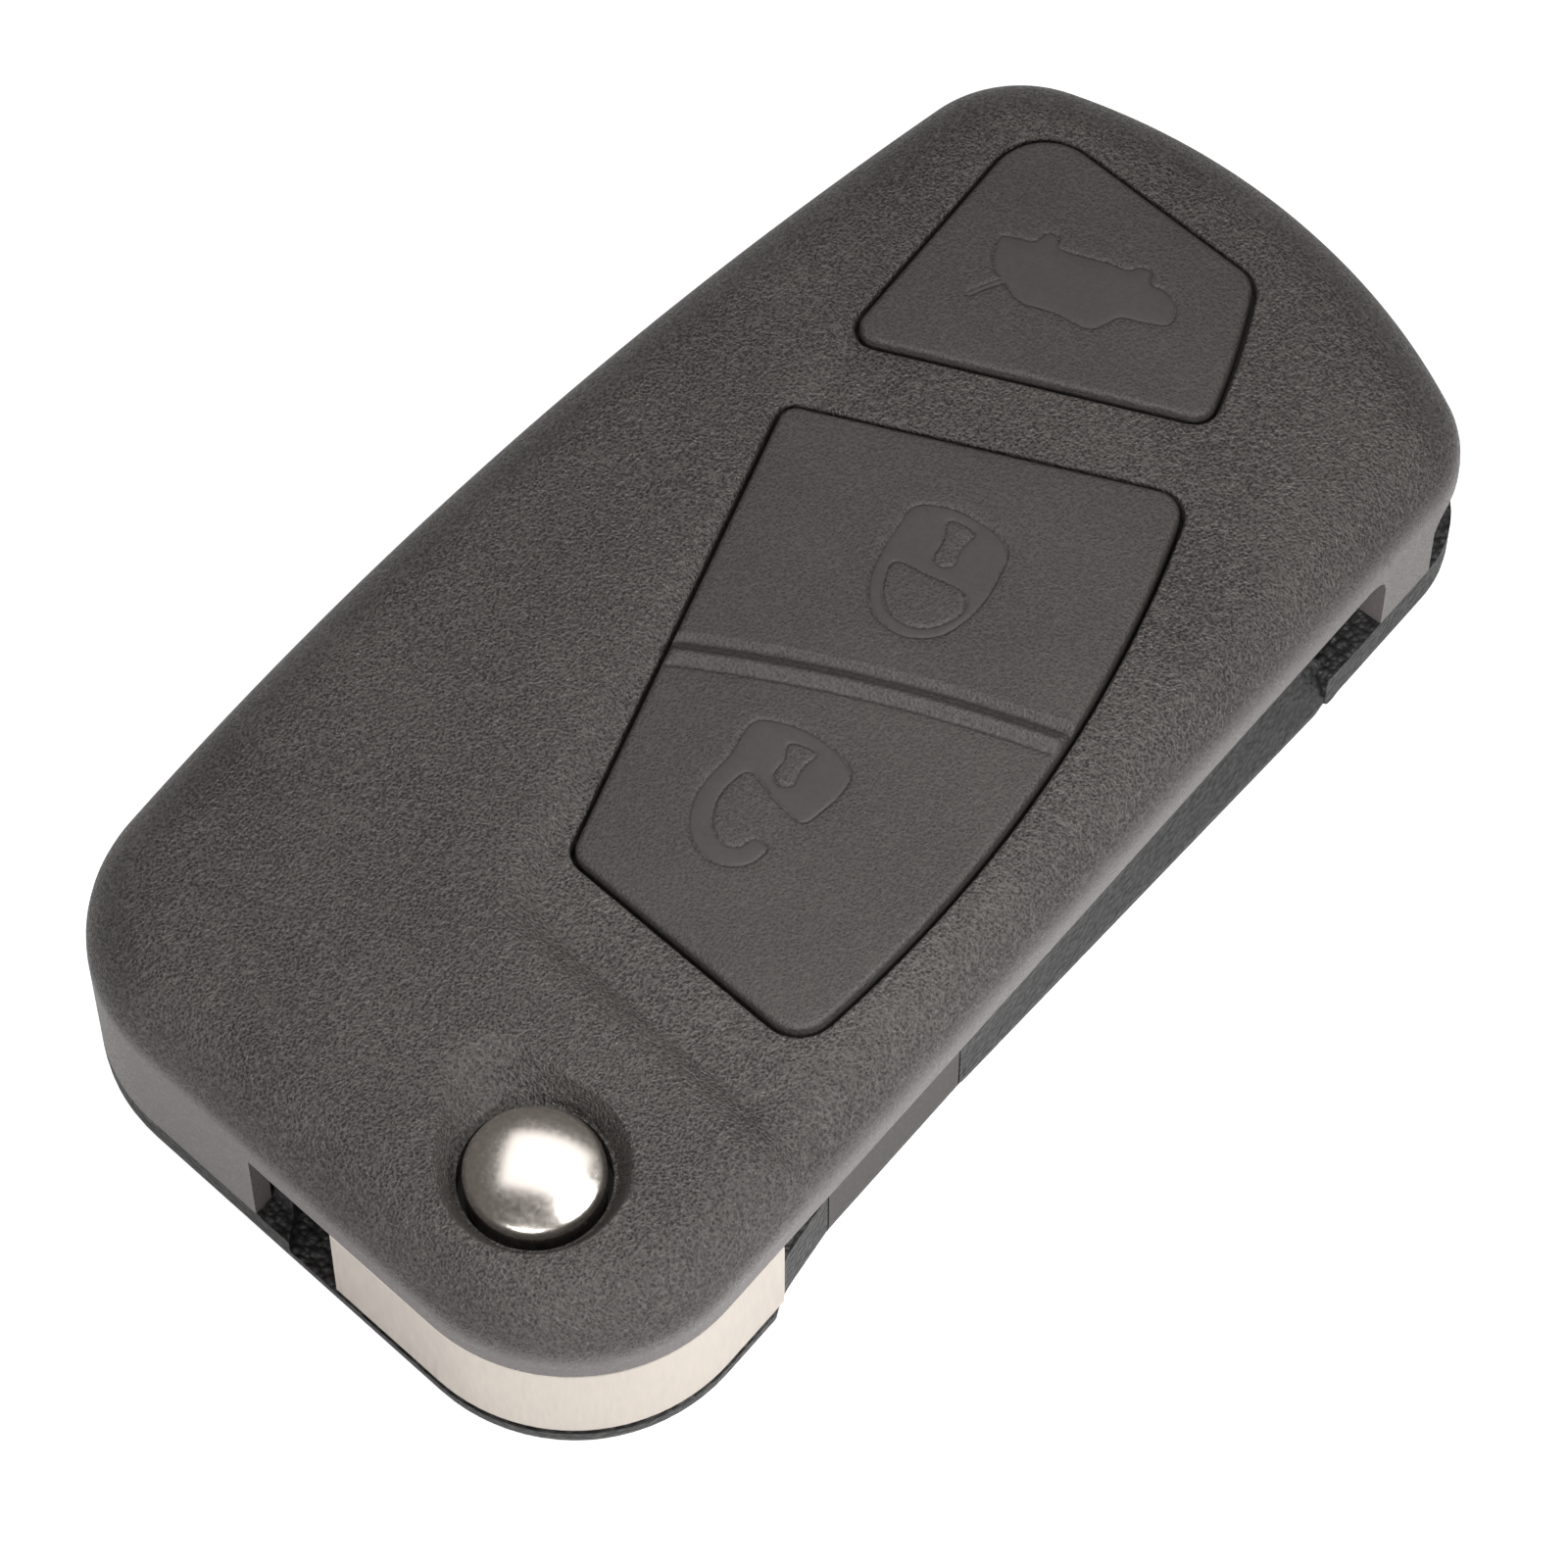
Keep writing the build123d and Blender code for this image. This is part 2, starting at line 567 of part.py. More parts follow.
def lower_shell():
    shell = lower_skin()
    inside = prism(lower_outline(LOWER_WALL / 2), FLOOR / 2, ABOVE)

    walls = tube(PIVOT, BOSS_R + SOCKET_WALL, FLOOR, PARTING_Z) + chamber_wall() + bearing_ribs()
    walls += block((CHANNEL_X - RIB_WALL, CHANNEL_X),
                   (PIVOT_Y + CHAMBER_R, RING_NEAR_Y), (FLOOR, WALL_TOP_Z))
    shelf = block((CHANNEL_X - RIB_WALL, SIDE_IN_X + EXTRA), (SLOT_NEAR_Y, RING_NEAR_Y),
                  (SLOT_FLOOR_Z - RIB_WALL, SLOT_FLOOR_Z))
    shelf -= tube(PIVOT, HUB_SWEEP_R, 0, ABOVE)
    walls += shelf
    walls += block((CHANNEL_X, SIDE_X), (RING_NEAR_Y - RIB_WALL, RING_NEAR_Y),
                   (FLOOR, WALL_TOP_Z))
    walls += block((RING_WALL_X - RING_WALL, RING_WALL_X), (RING_NEAR_Y - RIB_WALL, WIDE),
                   (PARTING_Z - RIB_WALL, WALL_TOP_Z))
    walls += tube(BATTERY, COVER_R + LEDGE, FLOOR, BATTERY_WALL_Z, bore=BATTERY_R)
    for place in SCREW_PLACES.values():
        walls += tube(place, LOWER_BOSS_R, FLOOR, BOSS_MEET_Z)
    shell += walls & inside

    shell += ring_corner(PARTING_Z - RIB_WALL, RING_FLOOR_Z) & prism(lower_outline(), 0, ABOVE)
    tongue = ring(lower_outline(SKIRT_WALL + FIT_GAP + TONGUE_WALL),
                  lower_outline(SKIRT_WALL + FIT_GAP), PARTING_Z, PARTING_Z + TONGUE_RISE)
    tongue -= block((PIVOT_X - NOTCH_REACH - TONGUE_END_GAP, WIDE), (-WIDE, 0), (0, ABOVE))
    tongue -= block((RING_WALL_X - RING_WALL - TONGUE_END_GAP, WIDE), (-WIDE, WIDE), (0, ABOVE))
    shell += tongue

    shell -= hub_sweep(HUB_FOOT_Z - HUB_END_GAP)
    shell -= tube(PIVOT, BOSS_R + BEARING_GAP, SOCKET_Z, ABOVE)
    shell -= tube(PIVOT, WASHER_R + BEARING_GAP, WASHER_Z, ABOVE)
    hatch = prism(cover_plan(COVER_GAP), -EXTRA, FLOOR)
    arm_y = (COVER_ARM_Y[0] - COVER_GAP, COVER_ARM_Y[1] + COVER_GAP)
    hatch += block((SIDE_IN_X - TRAY_EDGE_R - COVER_GAP, WIDE), arm_y,
                   (-EXTRA, FLOOR + TRAY_EDGE_R))
    hatch += block((SIDE_IN_X - COVER_GAP, WIDE), arm_y, (-EXTRA, ABOVE))
    shell -= hatch
    hook_space = HOOK_WIDTH / 2 + 2 * COVER_GAP
    shell -= block((BATTERY_X - COVER_R - LEDGE - EXTRA, BATTERY_X - BATTERY_R + EXTRA),
                   (BATTERY_Y - hook_space, BATTERY_Y + hook_space),
                   (FLOOR, BATTERY_WALL_Z + EXTRA))
    for place in SCREW_PLACES.values():
        shell -= tube(place, SCREW_HEAD_R + SCREW_HOLE_GAP, -EXTRA, SCREW_SEAT_Z)
        shell -= tube(place, SCREW_SHANK_R + SCREW_HOLE_GAP, 0, ABOVE)
    return shell


def battery_cover():
    cover = lower_skin() & prism(cover_plan(), -EXTRA, ABOVE)
    hook_x = BATTERY_X - COVER_R
    hook_y = (BATTERY_Y - HOOK_WIDTH / 2, BATTERY_Y + HOOK_WIDTH / 2)
    lift = FLOOR + COVER_GAP
    cover += block((hook_x + HOOK_ROOT[0], hook_x + HOOK_ROOT[1]), hook_y,
                   (FLOOR, lift + HOOK_THICKNESS))
    cover += block((hook_x - HOOK_REACH, hook_x + HOOK_ROOT[0]), hook_y,
                   (lift, lift + HOOK_THICKNESS))
    cover -= ring_groove(0.0)
    nick_y = (COVER_ARM_Y[0] + COVER_ARM_Y[1]) / 2
    nick = Pos(SIDE_X, nick_y, 0) * Box(2 * NICK_DEPTH, NICK_WIDTH, 2 * NICK_HEIGHT)
    return cover - nick


def ring_groove(clear):
    """The rubber ring that seals the cover, or with no clearance the groove that holds it."""
    return tube(BATTERY, SEAL_R - clear, FLOOR - SEAL_THICKNESS + clear, FLOOR,
                bore=SEAL_R - SEAL_WIDTH + clear)


def hub():
    """Barrel whose side is flush with the case. Its skirt hangs over the lower shell's low rim."""
    near = Pos(PIVOT_X, PIVOT_Y + HUB_BLADE_FACE) * Rectangle(
        WIDE, WIDE, align=(Align.MIN, Align.MAX))
    disc = Pos(*PIVOT) * Circle(HUB_DISC_R)
    disc &= Pos(PIVOT_X, PIVOT_Y + HUB_BLADE_FACE) * Rectangle(
        WIDE, WIDE, align=(Align.CENTER, Align.MAX))
    plan = body_outline(HUB_SIDE_GAP) & (near + disc)
    plan += Pos(*PIVOT) * Circle(HUB_ROUND_R)
    body = prism(plan, HUB_FOOT_Z, HUB_TOP_Z)
    body = fillet(flat_edges(body, HUB_TOP_Z) + flat_edges(body, HUB_FOOT_Z), HUB_EDGE_R)
    body -= tube(PIVOT, HUB_SKIRT_R, 0, HUB_FLOOR_Z)
    body += tube(PIVOT, SPIGOT_R, HUB_TOP_Z - EXTRA, SPIGOT_TOP_Z)
    body += tube(PIVOT, BOSS_R, HUB_BOSS_Z, HUB_FLOOR_Z + EXTRA)
    body -= tube(PIVOT, BORE_R, 0, ABOVE)
    lug_slot = block((-LUG_WIDTH / 2 - PLUNGER_GAP, LUG_WIDTH / 2 + PLUNGER_GAP),
                     (-PLUNGER_R - LUG_REACH - PLUNGER_GAP, PLUNGER_R + LUG_REACH + PLUNGER_GAP),
                     (LUG_Z - RELEASE_TRAVEL - PLUNGER_GAP, ABOVE))
    body -= Pos(*PIVOT, 0) * lug_slot
    body -= tang(SEAT_GAP)
    body -= tube(PIN, PIN_R + SEAT_GAP, HUB_FLOOR_Z + PIN_FOOT, HUB_TOP_Z + SEAT_GAP)
    return body


def tang(grow=0.0):
    """The blade's root inside the hub, or with a gap the slot that takes it."""
    return block((NECK_RIGHT_X - TANG_WIDTH - grow, NECK_RIGHT_X + grow),
                 (BLADE_ROOT_Y - TANG_DEPTH - grow, BLADE_ROOT_Y + grow),
                 (BLADE_Z - grow, BLADE_Z + BLADE_THICKNESS + grow))


def blade():
    left = BLADE_X - BLADE_WIDTH / 2
    right = BLADE_X + BLADE_WIDTH / 2
    shoulder_y = BLADE_ROOT_Y + NECK_LENGTH
    neck_x = NECK_RIGHT_X - NECK_WIDTH
    flat = polygon([
        (neck_x, BLADE_ROOT_Y),
        (NECK_RIGHT_X, BLADE_ROOT_Y),
        (right, BLADE_ROOT_Y),
        (right, BLADE_TIP_Y - BLADE_TIP),
        (BLADE_X + BLADE_TIP_FLAT / 2, BLADE_TIP_Y),
        (BLADE_X - BLADE_TIP_FLAT / 2, BLADE_TIP_Y),
        (left, BLADE_TIP_Y - BLADE_TIP),
        (left, shoulder_y + (neck_x - left) * 0.6),
        (neck_x, shoulder_y),
    ])
    bar = prism(flat, BLADE_Z, BLADE_Z + BLADE_THICKNESS)
    groove_y = (shoulder_y + GROOVE_START, BLADE_TIP_Y + EXTRA)
    groove_x = (BLADE_X - GROOVE_WIDTH / 2, BLADE_X + GROOVE_WIDTH / 2)
    bar -= block(groove_x, groove_y, (BLADE_Z - EXTRA, BLADE_Z + GROOVE_DEPTH))
    bar -= block(groove_x, groove_y, (BLADE_Z + BLADE_THICKNESS - GROOVE_DEPTH, ABOVE))
    bar += tang()
    return bar - tube(PIN, PIN_R + SEAT_GAP, 0, ABOVE)


def blade_pin():
    return tube(PIN, PIN_R, HUB_FLOOR_Z + PIN_FOOT, HUB_TOP_Z, bore=PIN_BORE_R)


def release_cap():
    """Domed metal button, pressed on the plunger's neck."""
    sphere_r = (DOME_R ** 2 + DOME_RISE ** 2) / (2 * DOME_RISE)
    rim_z = DOME_TOP_Z - DOME_RISE
    cap = tube(PIVOT, DOME_R, DOME_FOOT_Z, DOME_TOP_Z)
    cap &= (Pos(*PIVOT, DOME_TOP_Z - sphere_r) * Sphere(sphere_r)
            + tube(PIVOT, DOME_R, 0, rim_z - DOME_ROOF))
    rim = [e for e in cap.edges() if abs(e.bounding_box().max.Z - rim_z) < FIT_GAP]
    cap = fillet(rim, DOME_RIM_R)
    return cap - tube(PIVOT, PLUNGER_NECK_R + SEAT_GAP, 0, NECK_TOP_Z + SEAT_GAP)


def release_plunger():
    body = tube(PIVOT, PLUNGER_R, FLANGE_TOP_Z - PLUNGER_FLANGE, FLANGE_TOP_Z)
    body += tube(PIVOT, DOME_R - BEARING_GAP, FLANGE_TOP_Z, DOME_FOOT_Z)
    body += tube(PIVOT, PLUNGER_NECK_R, DOME_FOOT_Z, NECK_TOP_Z)
    lug = block((-LUG_WIDTH / 2, LUG_WIDTH / 2),
                (-PLUNGER_R - LUG_REACH, PLUNGER_R + LUG_REACH), (LUG_Z, FLANGE_TOP_Z))
    body += Pos(*PIVOT, 0) * lug
    body += tube(PIVOT, PLUNGER_R, LUG_Z, FLANGE_TOP_Z)
    return body - tube(PIVOT, SPRING_R + SPRING_WIRE_R + PLUNGER_GAP, 0,
                       FLANGE_TOP_Z - PLUNGER_FLANGE)


def hub_spring():
    """Coil that turns the hub and lifts the button, between its seat and the plunger."""
    low = SPRING_SEAT_Z + SPRING_WIRE_R + LAYER_GAP
    high = FLANGE_TOP_Z - PLUNGER_FLANGE - SPRING_WIRE_R - LAYER_GAP
    path = Pos(*PIVOT, low) * Helix((high - low) / SPRING_TURNS, high - low, SPRING_R)
    section = Plane(origin=path @ 0, z_dir=path % 0) * Circle(SPRING_WIRE_R)
    return sweep(section, path=path)


def spring_seat():
    seat = tube(PIVOT, SEAT_R, SOCKET_Z, SPRING_SEAT_Z)
    return seat + tube(PIVOT, SPRING_R - SPRING_WIRE_R - PLUNGER_GAP, SOCKET_Z,
                       SPRING_SEAT_Z + SEAT_SPIGOT, bore=SEAT_BORE_R)


def thrust_washer():
    return tube(PIVOT, WASHER_R, WASHER_Z, WASHER_Z + WASHER_THICKNESS,
                bore=BOSS_R + BEARING_GAP)


def button(plan, flange_plan, hollow_plan, flange_z):
    """Moulded button: a hollow pad with a flange that keeps it under the roof."""
    pad = prism(plan, flange_z, PAD_TOP_Z)
    pad = fillet(flat_edges(pad, PAD_TOP_Z), PAD_EDGE_R)
    pad += prism(flange_plan, flange_z, flange_z + FLANGE)
    return pad - prism(hollow_plan, 0, PAD_TOP_Z - PAD_TOP)


def boot_button():
    return button(boot_outline(), boot_outline(FLANGE_REACH), boot_outline(-PAD_WALL), BOOT_FLANGE_Z)


def rock_band(width, low, high, shift=0.0):
    """Curved strip along the line on which the lock and unlock halves meet."""
    start, end = ROCK_LINE
    inner = RadiusArc(start, end, BEAD_ARC_R)
    return Pos(0, shift, low) * extrude(trace(inner, width), high - low)


def lock_rocker():
    rocker = button(rocker_outline(), rocker_outline(FLANGE_REACH), rocker_outline(-PAD_WALL),
                    ROCKER_FLANGE_Z)
    inside = prism(rocker_outline(-PAD_EDGE_R), 0, ABOVE)
    rocker -= rock_band(BEAD_GROOVE, PAD_TOP_Z - BEAD_RISE, ABOVE,
                        (BEAD_WIDTH + BEAD_GROOVE) / 2) & inside
    rocker += rock_band(BEAD_WIDTH, PAD_TOP_Z - BEAD_ROOT, PAD_TOP_Z + BEAD_RISE) & inside
    fulcrum = rock_band(RIB_WALL, MEMBRANE_TOP_Z + LAYER_GAP, PAD_TOP_Z - PAD_TOP / 2)
    return rocker + (fulcrum & prism(rocker_outline(-PAD_WALL / 2), 0, ABOVE))


def keypad_membrane():
    sheet = prism(keypad_bay(TRAY_GAP, MEMBRANE_LEFT, MEMBRANE_NEAR),
                  MEMBRANE_Z, MEMBRANE_TOP_Z)
    for place, top in PIPS:
        sheet += tube(place, PIP_R, MEMBRANE_Z, top)
        sheet += tube(place, PIP_STEM_R, RETAINER_Z - PIP_STEM, MEMBRANE_Z)
    for place in POSTS:
        sheet -= tube(place, POST_R + FIT_GAP, 0, ABOVE)
    return sheet


def keypad_retainer():
    plate = prism(keypad_bay(SCREW_HOLE_GAP, RETAINER_LEFT, RETAINER_NEAR),
                  RETAINER_Z, RETAINER_Z + RETAINER)
    for place, _ in PIPS:
        plate -= tube(place, PIP_STEM_R + 2 * FIT_GAP, 0, ABOVE)
    for place in PEGS:
        plate -= tube(place, PEG_R + SEAT_GAP, 0, ABOVE)
    return plate - tube(RETAINER_SCREW, RETAINER_SCREW_R + FIT_GAP, 0, ABOVE)


def screw(place, head_z, head_r, head_height, shank_r, length):
    """Pan-head screw driven upwards, with a cross recess."""
    body = tube(place, head_r, head_z, head_z + head_height)
    body += tube(place, shank_r, head_z + head_height, head_z + head_height + length)
    length_share, width_share = SCREW_CROSS
    slot = Box(head_r * length_share, head_r * width_share, head_height)
    body -= Pos(*place, head_z) * slot
    return body - Pos(*place, head_z) * Rot(0, 0, 90) * slot


def board_tray():
    plan = lower_outline(TRAY_INSET)
    plan &= Pos(-WIDE / 2, TRAY_NEAR_Y) * Rectangle(WIDE, WIDE, align=(Align.MIN, Align.MIN))
    plan -= Pos(CHANNEL_X - RIB_WALL - TRAY_GAP, -WIDE / 2) * Rectangle(
        WIDE, WIDE, align=(Align.MIN, Align.MIN))
    plan -= Pos(*PIVOT) * Circle(CHAMBER_R + CHAMBER_WALL + TRAY_GAP)
    plan -= Pos(*SCREW_PLACES["ring_end"]) * Circle(LOWER_BOSS_R + TRAY_GAP + FIT_GAP)
    tray = prism(plan, TRAY_Z, TRAY_Z + TRAY_HEIGHT)
    tray -= prism(offset(plan, -TRAY_WALL), TRAY_Z + TRAY_FLOOR, ABOVE)
    return tray - tube(BATTERY, TRAY_WINDOW_R, 0, ABOVE)


pieces = {
    "upper_shell": upper_shell(),
    "lower_shell": lower_shell(),
    "battery_cover": battery_cover(),
    "battery_cover_seal": ring_groove(SEAT_GAP),
    "board_tray": board_tray(),
    "keypad_retainer": keypad_retainer(),
    "keypad_membrane": keypad_membrane(),
    "boot_button": boot_button(),
    "lock_rocker": lock_rocker(),
    "blade_hub": hub(),
    "blade": blade(),
    "blade_pin": blade_pin(),
    "hub_spring": hub_spring(),
    "spring_seat": spring_seat(),
    "thrust_washer": thrust_washer(),
    "release_cap": release_cap(),
    "release_plunger": release_plunger(),
    "retainer_screw": screw(RETAINER_SCREW, RETAINER_Z - RETAINER_HEAD, RETAINER_HEAD_R,
                            RETAINER_HEAD, RETAINER_SCREW_R, RETAINER_SCREW_LENGTH),
}
for name, place in SCREW_PLACES.items():
    pieces["case_screw_" + name] = screw(place, SCREW_SINK, SCREW_HEAD_R, SCREW_HEAD,
                                         SCREW_SHANK_R, SCREW_LENGTH)

os.makedirs("parts", exist_ok=True)
for name, shape in pieces.items():
    export_step(shape, f"parts/{name}.step")
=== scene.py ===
# %% [markdown]
# # A folded flip-key remote, dressed for its portrait
#
# The key lies on its back with its buttons up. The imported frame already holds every
# piece at its real size, and says which body each one moves with. This lesson gives
# each piece the surface that the real one has. Where a moulding has soft edges, relief
# or a polished crown that the plain solid lacks, a finer mesh takes its place.
#
# Lengths below are in millimetres, because that is how such a part is measured, and
# they become metres at the last step of each mesh.

# %% Load the frame
import math

import bpy
import numpy as np
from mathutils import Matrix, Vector
from mathutils.geometry import delaunay_2d_cdt
from mathutils.kdtree import KDTree


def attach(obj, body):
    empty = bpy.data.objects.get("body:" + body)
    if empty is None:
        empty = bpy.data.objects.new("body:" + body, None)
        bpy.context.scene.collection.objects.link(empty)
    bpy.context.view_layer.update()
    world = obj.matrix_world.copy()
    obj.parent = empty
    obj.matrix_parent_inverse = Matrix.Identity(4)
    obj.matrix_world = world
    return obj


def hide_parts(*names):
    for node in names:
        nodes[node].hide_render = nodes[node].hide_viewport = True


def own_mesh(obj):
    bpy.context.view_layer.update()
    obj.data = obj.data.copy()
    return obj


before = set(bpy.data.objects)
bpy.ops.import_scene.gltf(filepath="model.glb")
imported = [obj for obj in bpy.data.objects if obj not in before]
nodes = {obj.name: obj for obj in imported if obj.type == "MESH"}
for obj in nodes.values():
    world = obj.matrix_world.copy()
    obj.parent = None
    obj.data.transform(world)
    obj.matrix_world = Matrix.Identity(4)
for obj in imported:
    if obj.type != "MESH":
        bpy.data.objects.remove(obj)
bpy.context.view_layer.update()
MM = 0.001
print("pieces in the frame:", len(nodes))

# %% [markdown]
# ## Camera
#
# The photograph looks down steeply on the key, which is turned so that its hub comes
# towards the lower left. A long lens far away keeps the outline almost free of
# perspective, so the camera stands 365 mm away and sees a square frame.

# %% Camera
TARGET = (2.83, -3.37, 8.0)
AZIMUTH = 39.4
ELEVATION = 62.0
DISTANCE = 365.0
LENS = 162.0


def direction(azimuth, elevation):
    """Unit vector from the key towards a viewer or a lamp."""
    a = math.radians(azimuth)
    e = math.radians(elevation)
    return Vector((math.sin(a) * math.cos(e), -math.cos(a) * math.cos(e), math.sin(e)))


def aim(thing, target, towards, distance):
    """Put a camera or a lamp at a distance from its target, looking at it."""
    thing.location = (Vector(target) + direction(*towards) * distance) * MM
    thing.rotation_euler = direction(*towards).to_track_quat("Z", "Y").to_euler()


def add_object(name, data):
    """New object in the scene."""
    thing = bpy.data.objects.new(name, data)
    bpy.context.scene.collection.objects.link(thing)
    return thing


camera_data = bpy.data.cameras.new("camera")
camera_data.lens = LENS
camera_data.sensor_width = 36.0
camera_data.clip_start = 0.01
camera = add_object("camera", camera_data)
aim(camera, TARGET, (AZIMUTH, ELEVATION), DISTANCE)
bpy.context.scene.camera = camera
print("camera at", [round(value, 3) for value in camera.location])

# %% [markdown]
# ## Light
#
# Gloss is what a lamp's shape leaves in a surface. Large soft panels give the grainy
# case its broad sheen, and the same panels are the white shapes in the polished dome.
# The widest panel hangs overhead. A small one stands so near the case on its right that
# its light fades towards the left. The third comes low from the viewer's side, so that
# the slope of the crease, which faces away, stays dark. A low strip draws the thin bright
# line along the dome's near rim. The room is left rather dark, because dark parts beside
# white ones are what makes a dome look polished.

# %% Lamps
LAMPS = {
    "overhead": {"towards": (205.0, 70.0), "distance": 260.0, "size": (330, 270), "power": 0.38},
    "near": {"towards": (82.0, 48.0), "distance": 76.0, "size": (42, 36), "power": 0.044},
    "key": {"towards": (28.0, 36.0), "distance": 300.0, "size": (120, 90), "power": 0.42},
    "low": {"towards": (-12.0, 14.0), "distance": 420.0, "size": (320, 60), "power": 0.18},
}


def add_lamp(name, towards, distance, size, power):
    """Rectangular panel of light that is aimed at the key, and that the camera doesn't see."""
    data = bpy.data.lights.new(name, "AREA")
    data.shape = "RECTANGLE"
    data.size = size[0] * MM
    data.size_y = size[1] * MM
    data.energy = power
    lamp = add_object(name, data)
    lamp.visible_camera = False
    aim(lamp, TARGET, towards, distance)


for name, setting in LAMPS.items():
    add_lamp(name, **setting)
print("lamps:", *LAMPS)

# %% [markdown]
# ## Room and floor
#
# Light Path tells a shader what kind of ray looks at it. The camera sees a white room
# and white paper, and gloss sees the paper a little brighter than it is, so that metal
# shows the white ground too. All other light meets a dim room and plain paper, so the
# background adds nothing to the light on the key, and the key's shadow still falls.

# %% Room
ROOM = (0.120, 0.112, 0.106)


def feed(tree, socket, value):
    """Link an output to a node's socket, or write a plain value in it."""
    if isinstance(value, bpy.types.NodeSocket):
        tree.links.new(value, socket)
    else:
        socket.default_value = value


def link(tree, source, output, target, socket):
    tree.links.new(source.outputs[output], target.inputs[socket])


def maths(tree, operation, first, second):
    node = tree.nodes.new("ShaderNodeMath")
    node.operation = operation
    feed(tree, node.inputs[0], first)
    feed(tree, node.inputs[1], second)
    return node.outputs[0]


def white_where_seen(tree, plain, white, rays):
    """Shader that is white to the named rays and plain to everything else."""
    path = tree.nodes.new("ShaderNodeLightPath")
    seen = path.outputs[rays[0]]
    for ray in rays[1:]:
        seen = maths(tree, "MAXIMUM", seen, path.outputs[ray])
    mix = tree.nodes.new("ShaderNodeMixShader")
    for socket, value in zip(mix.inputs, (seen, plain, white)):
        feed(tree, socket, value)
    return mix.outputs[0]


def backdrop(tree, colour):
    node = tree.nodes.new("ShaderNodeBackground")
    node.inputs["Color"].default_value = (*colour, 1)
    return node.outputs[0]


world = bpy.data.worlds.new("studio")
bpy.context.scene.world = world
world.use_nodes = True
tree = world.node_tree
tree.nodes.clear()
shown = white_where_seen(tree, backdrop(tree, ROOM), backdrop(tree, (1, 1, 1)), ["Is Camera Ray"])
world_out = tree.nodes.new("ShaderNodeOutputWorld")
feed(tree, world_out.inputs["Surface"], shown)

bpy.context.scene.view_settings.view_transform = "Standard"
print("room light:", ROOM)

# %% Floor
FLOOR_SIZE = 4000.0
PAPER = (0.80, 0.80, 0.80)
GLOW_IN_GLOSS = 0.1
GLOW_IN_CAMERA = 0.7

floor_mesh = bpy.data.meshes.new("floor")
half = FLOOR_SIZE / 2 * MM
floor_mesh.from_pydata(
    [(-half, -half, 0), (half, -half, 0), (half, half, 0), (-half, half, 0)], [], [(0, 1, 2, 3)])
floor = add_object("floor", floor_mesh)
floor_material = bpy.data.materials.new("white_paper")
floor_material.use_nodes = True
tree = floor_material.node_tree
paper_bsdf = tree.nodes["Principled BSDF"]
paper_bsdf.inputs["Base Color"].default_value = (*PAPER, 1)
paper_bsdf.inputs["Roughness"].default_value = 0.9


def lifted(strength):
    """The floor's own shader with a glow added to it."""
    glow = tree.nodes.new("ShaderNodeEmission")
    glow.inputs["Strength"].default_value = strength
    both = tree.nodes.new("ShaderNodeAddShader")
    feed(tree, both.inputs[0], paper_bsdf.outputs[0])
    feed(tree, both.inputs[1], glow.outputs[0])
    return both.outputs[0]


shader = paper_bsdf.outputs[0]
shader = white_where_seen(tree, shader, lifted(GLOW_IN_GLOSS), ["Is Glossy Ray", "Is Transmission Ray"])
shader = white_where_seen(tree, shader, lifted(GLOW_IN_CAMERA), ["Is Camera Ray"])
feed(tree, tree.nodes["Material Output"].inputs["Surface"], shader)
floor.data.materials.append(floor_material)
print("floor:", FLOOR_SIZE, "mm wide")

# %% [markdown]
# ## Plan outlines
#
# A moulded case is drawn in plan first: four corners, each with its own radius, joined by
# straight or gently bowed sides. The helper below walks round such an outline and can
# also set it in or out by a wall, in step with the first line, so that rows of points
# follow an edge. Rows that run with an edge are what gives a rounded edge its clean gloss.

# %% Outlines with rounded corners
SHARP = 0.05
CORNER_ROUNDS = 12


def side_between(here, there):
    """Side of an anticlockwise outline: straight, or an arc that bulges outwards."""
    a = np.array(here[:2], float)
    b = np.array(there[:2], float)
    along = (b - a) / np.linalg.norm(b - a)
    left = np.array([-along[1], along[0]])
    radius = here[3]
    if not radius:
        return {"start": a, "left": left, "radius": 0.0}
    rise = math.sqrt(radius ** 2 - ((b - a) @ (b - a)) / 4)
    return {"centre": (a + b) / 2 + left * rise, "radius": radius}


def depth_and_inward(side, point):
    """How far a point lies inside one side, and the direction that leads further in."""
    if not side["radius"]:
        return (point - side["start"]) @ side["left"], side["left"]
    spoke = point - side["centre"]
    length = np.linalg.norm(spoke)
    return side["radius"] - length, -spoke / length


def corner_arc(before, after, corner, inset):
    """Centre, radius, start angle and turn of the arc that rounds one corner."""
    radius = max(corner[2] - inset, SHARP)
    centre = np.array(corner[:2], float)
    for _ in range(CORNER_ROUNDS):
        d1, n1 = depth_and_inward(before, centre)
        d2, n2 = depth_and_inward(after, centre)
        centre = centre + np.linalg.solve([n1, n2], [radius + inset - d1, radius + inset - d2])
    n1 = depth_and_inward(before, centre)[1]
    n2 = depth_and_inward(after, centre)[1]
    start = math.atan2(-n1[1], -n1[0])
    turn = (math.atan2(-n2[1], -n2[0]) - start + math.pi) % math.tau - math.pi
    return centre, radius, start, turn


